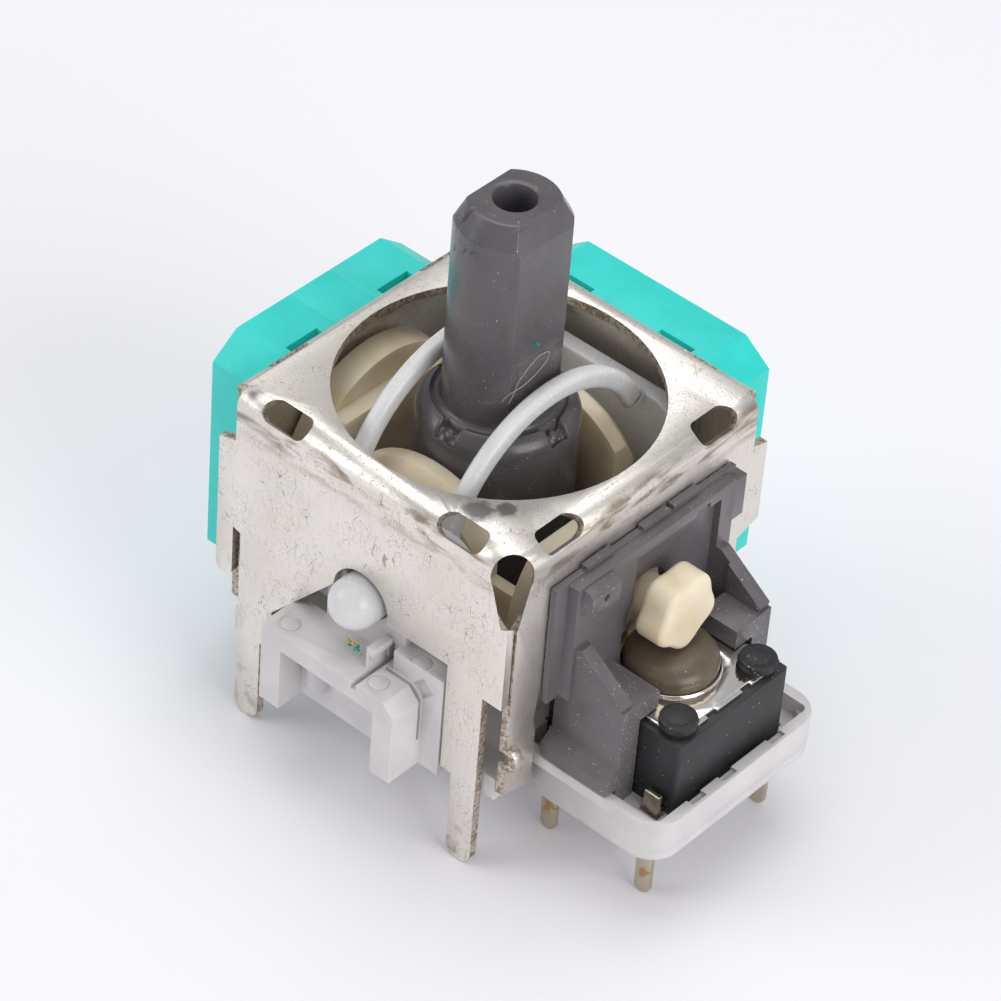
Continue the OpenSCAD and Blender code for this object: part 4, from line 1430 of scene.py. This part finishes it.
@dataclass
class Debris:
    """Traces of use: a fine fibre and a speck on the stick, green and yellow crumbs by the axle."""

    thread: tuple[tuple[float, float, float], ...] = (
        (1.57, -1.43, 12.5), (1.67, -1.31, 12.9), (1.7, -1.15, 13.4), (1.79, -0.8, 13.9), (1.8, -0.2, 14.2),
        (1.8, 0.4, 14.1), (1.8, 0.3, 13.7), (1.8, -0.3, 13.4), (1.77, -0.9, 13.2), (1.66, -1.32, 13.1),
        (1.5, -1.51, 12.9), (1.4, -1.6, 12.6))
    thread_r: float = 0.012
    spacing: float = 0.05
    window: int = 9
    lean: tuple[float, float, float] = (0.31, 0.52, 0.79)
    crumb: float = 0.09
    speck_at: tuple[float, float, float] = (1.64, -0.18, 14.63)
    green_at: tuple[float, float, float] = (0.3, -7.3, 3.9)
    yellow_at: tuple[float, float, float] = (-0.05, -7.25, 4.05)

    def fibre(self) -> Shell:
        """A thin round thread through points, smoothed by a moving average.

        Returns:
            The skin.
        """
        path = along(self.thread, self.spacing)
        weight = np.ones(self.window) / self.window
        more = self.window // 2
        padded = np.vstack([np.repeat(path[:1], more, axis=0), path, np.repeat(path[-1:], more, axis=0)])
        smooth = np.stack([np.convolve(padded[:, axis], weight, mode="valid") for axis in range(3)], axis=1)
        return swept(smooth, disc_outline(self.thread_r, 6), np.array(self.lean))

    def crumbs(self, centre: Sequence[float], spread: float, count: int, seed: int) -> Shell:
        """Small ragged crumbs: flattened seven-sided double cones at seeded places.

        Args:
            centre: Middle of the cluster.
            spread: How far they lie apart.
            count: How many.
            seed: Start of the noise.

        Returns:
            The skin.
        """
        rng = np.random.default_rng(seed)
        made = None
        lens = np.array([[0.0, -0.4], [0.8, -0.1], [1.0, 0.1], [0.0, 0.5]])
        for _ in range(count):
            profile = lens * self.crumb * rng.uniform(0.5, 1.2)
            place = np.array(centre) + rng.uniform(-spread, spread, 3) * np.array([1.0, 0.3, 0.4])
            one = turned_skin(profile, 7).turned(np.eye(3), place)
            made = one if made is None else made + one
        return made

    def build(self, shop: Workshop) -> None:
        """Builds the debris.

        Args:
            shop: Where pieces are made.
        """
        hair = Moulding("fibre", srgb(190, 180, 170), srgb(160, 150, 140), rough=0.4).material()
        shop.fit(shop.make("fibre_on_hub", self.fibre(), hair), "stick")
        green = Moulding("crumb_green", srgb(30, 180, 150), srgb(20, 150, 120)).material()
        yellow = Moulding("crumb_yellow", srgb(226, 196, 110), srgb(200, 160, 80)).material()
        speck = self.crumbs(self.speck_at, 0.07, 3, 8)
        shop.fit(shop.make("speck_on_flat", speck, green), "stick")
        near = self.crumbs(self.green_at, 0.35, 7, 3)
        shop.fit(shop.make("crumbs_green", near, green), "housing")
        far = self.crumbs(self.yellow_at, 0.3, 6, 5)
        shop.fit(shop.make("crumbs_yellow", far, yellow), "housing")


@dataclass(frozen=True)
class Softbox:
    """A square soft lamp: its name, place and side in millimetres, and power in watts."""

    name: str
    place: tuple[float, float, float]
    side: float
    power: float


@dataclass
class Studio:
    """Camera, floor and soft light."""

    azimuth: float = 38.63
    elevation: float = 40.85
    roll: float = 4.80
    lens: float = 171.83
    place: tuple[float, float, float] = (81.74, -101.70, 119.12)
    floor_z: float = -3.42
    floor_size: float = 4000.0
    paper: Colour = srgb(241, 240, 244)
    surround: Colour = (0.985, 0.98, 1.0)
    surround_power: float = 0.48
    aim: tuple[float, float, float] = (0.0, 0.0, 5.0)
    lamps: tuple[Softbox, ...] = (Softbox("top_softbox", (-60.0, 60.0, 320.0), 260.0, 0.44),
                                  Softbox("left_softbox", (-240.0, -220.0, 180.0), 200.0, 0.33),
                                  Softbox("right_softbox", (290.0, -30.0, 140.0), 200.0, 0.5))

    def camera(self) -> None:
        """Sets the camera from its angles: right and up are turned about the view by the roll."""
        az, el, roll = (math.radians(value) for value in (self.azimuth, self.elevation, self.roll))
        ahead = Vector((-math.sin(az) * math.cos(el), math.cos(az) * math.cos(el), -math.sin(el)))
        right = Vector((math.cos(az), math.sin(az), 0.0))
        up = right.cross(ahead)
        axis_x = math.cos(roll) * right + math.sin(roll) * up
        axis_y = -math.sin(roll) * right + math.cos(roll) * up
        turn = Matrix((axis_x, axis_y, -ahead)).transposed().to_4x4()
        data = bpy.data.cameras.new("camera")
        data.lens = self.lens
        data.sensor_width = 36.0
        data.clip_start = 0.001
        data.clip_end = 50.0
        made = bpy.data.objects.new("camera", data)
        made.matrix_world = Matrix.Translation(Vector(self.place) * MM) @ turn
        bpy.context.scene.collection.objects.link(made)
        bpy.context.scene.camera = made

    def floor(self) -> None:
        """A wide pale floor."""
        size = self.floor_size
        corners = np.array([[-size, -size, self.floor_z], [size, -size, self.floor_z],
                            [size, size, self.floor_z], [-size, size, self.floor_z]])
        piece = as_object("floor", corners, [(0, 1, 2, 3)], smooth=False)
        net = Net("floor_paper")
        net.close(self.paper, 0.9, None, {"Specular IOR Level": 0.1})
        piece.data.materials.append(net.material)

    def lamp(self, box: Softbox) -> None:
        """Adds a lamp that faces the aim point.

        Args:
            box: The lamp's values.
        """
        data = bpy.data.lights.new(box.name, "AREA")
        data.shape = "SQUARE"
        data.size = box.side * MM
        data.energy = box.power
        made = bpy.data.objects.new(box.name, data)
        where = Vector(box.place) * MM
        facing = (Vector(self.aim) * MM - where).to_track_quat("-Z", "Y")
        made.matrix_world = Matrix.Translation(where) @ facing.to_matrix().to_4x4()
        bpy.context.scene.collection.objects.link(made)

    def world(self) -> None:
        """Soft, slightly cool surround."""
        world = bpy.data.worlds.new("surround")
        world.use_nodes = True
        tree = world.node_tree
        shade = tree.nodes["Background"]
        shade.inputs["Color"].default_value = (*self.surround, 1.0)
        shade.inputs["Strength"].default_value = self.surround_power
        bpy.context.scene.world = world

    def build(self) -> None:
        """Builds the studio."""
        self.camera()
        self.floor()
        self.world()
        for box in self.lamps:
            self.lamp(box)
        bpy.context.scene.view_settings.view_transform = "Standard"


def main() -> None:
    """Builds the whole scene in order."""
    logging.basicConfig(level=logging.INFO, format="%(name)s: %(message)s")
    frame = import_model()
    Studio().build()
    shop = Workshop(frame["nodes"])
    assemblies = (Cover(), Mouldings(), PushSwitch(), Sensors(), LowerArm(), UpperArm(), Stick(), Springs(),
                  Debris())
    for assembly in assemblies:
        assembly.build(shop)


if __name__ == "__main__":
    main()
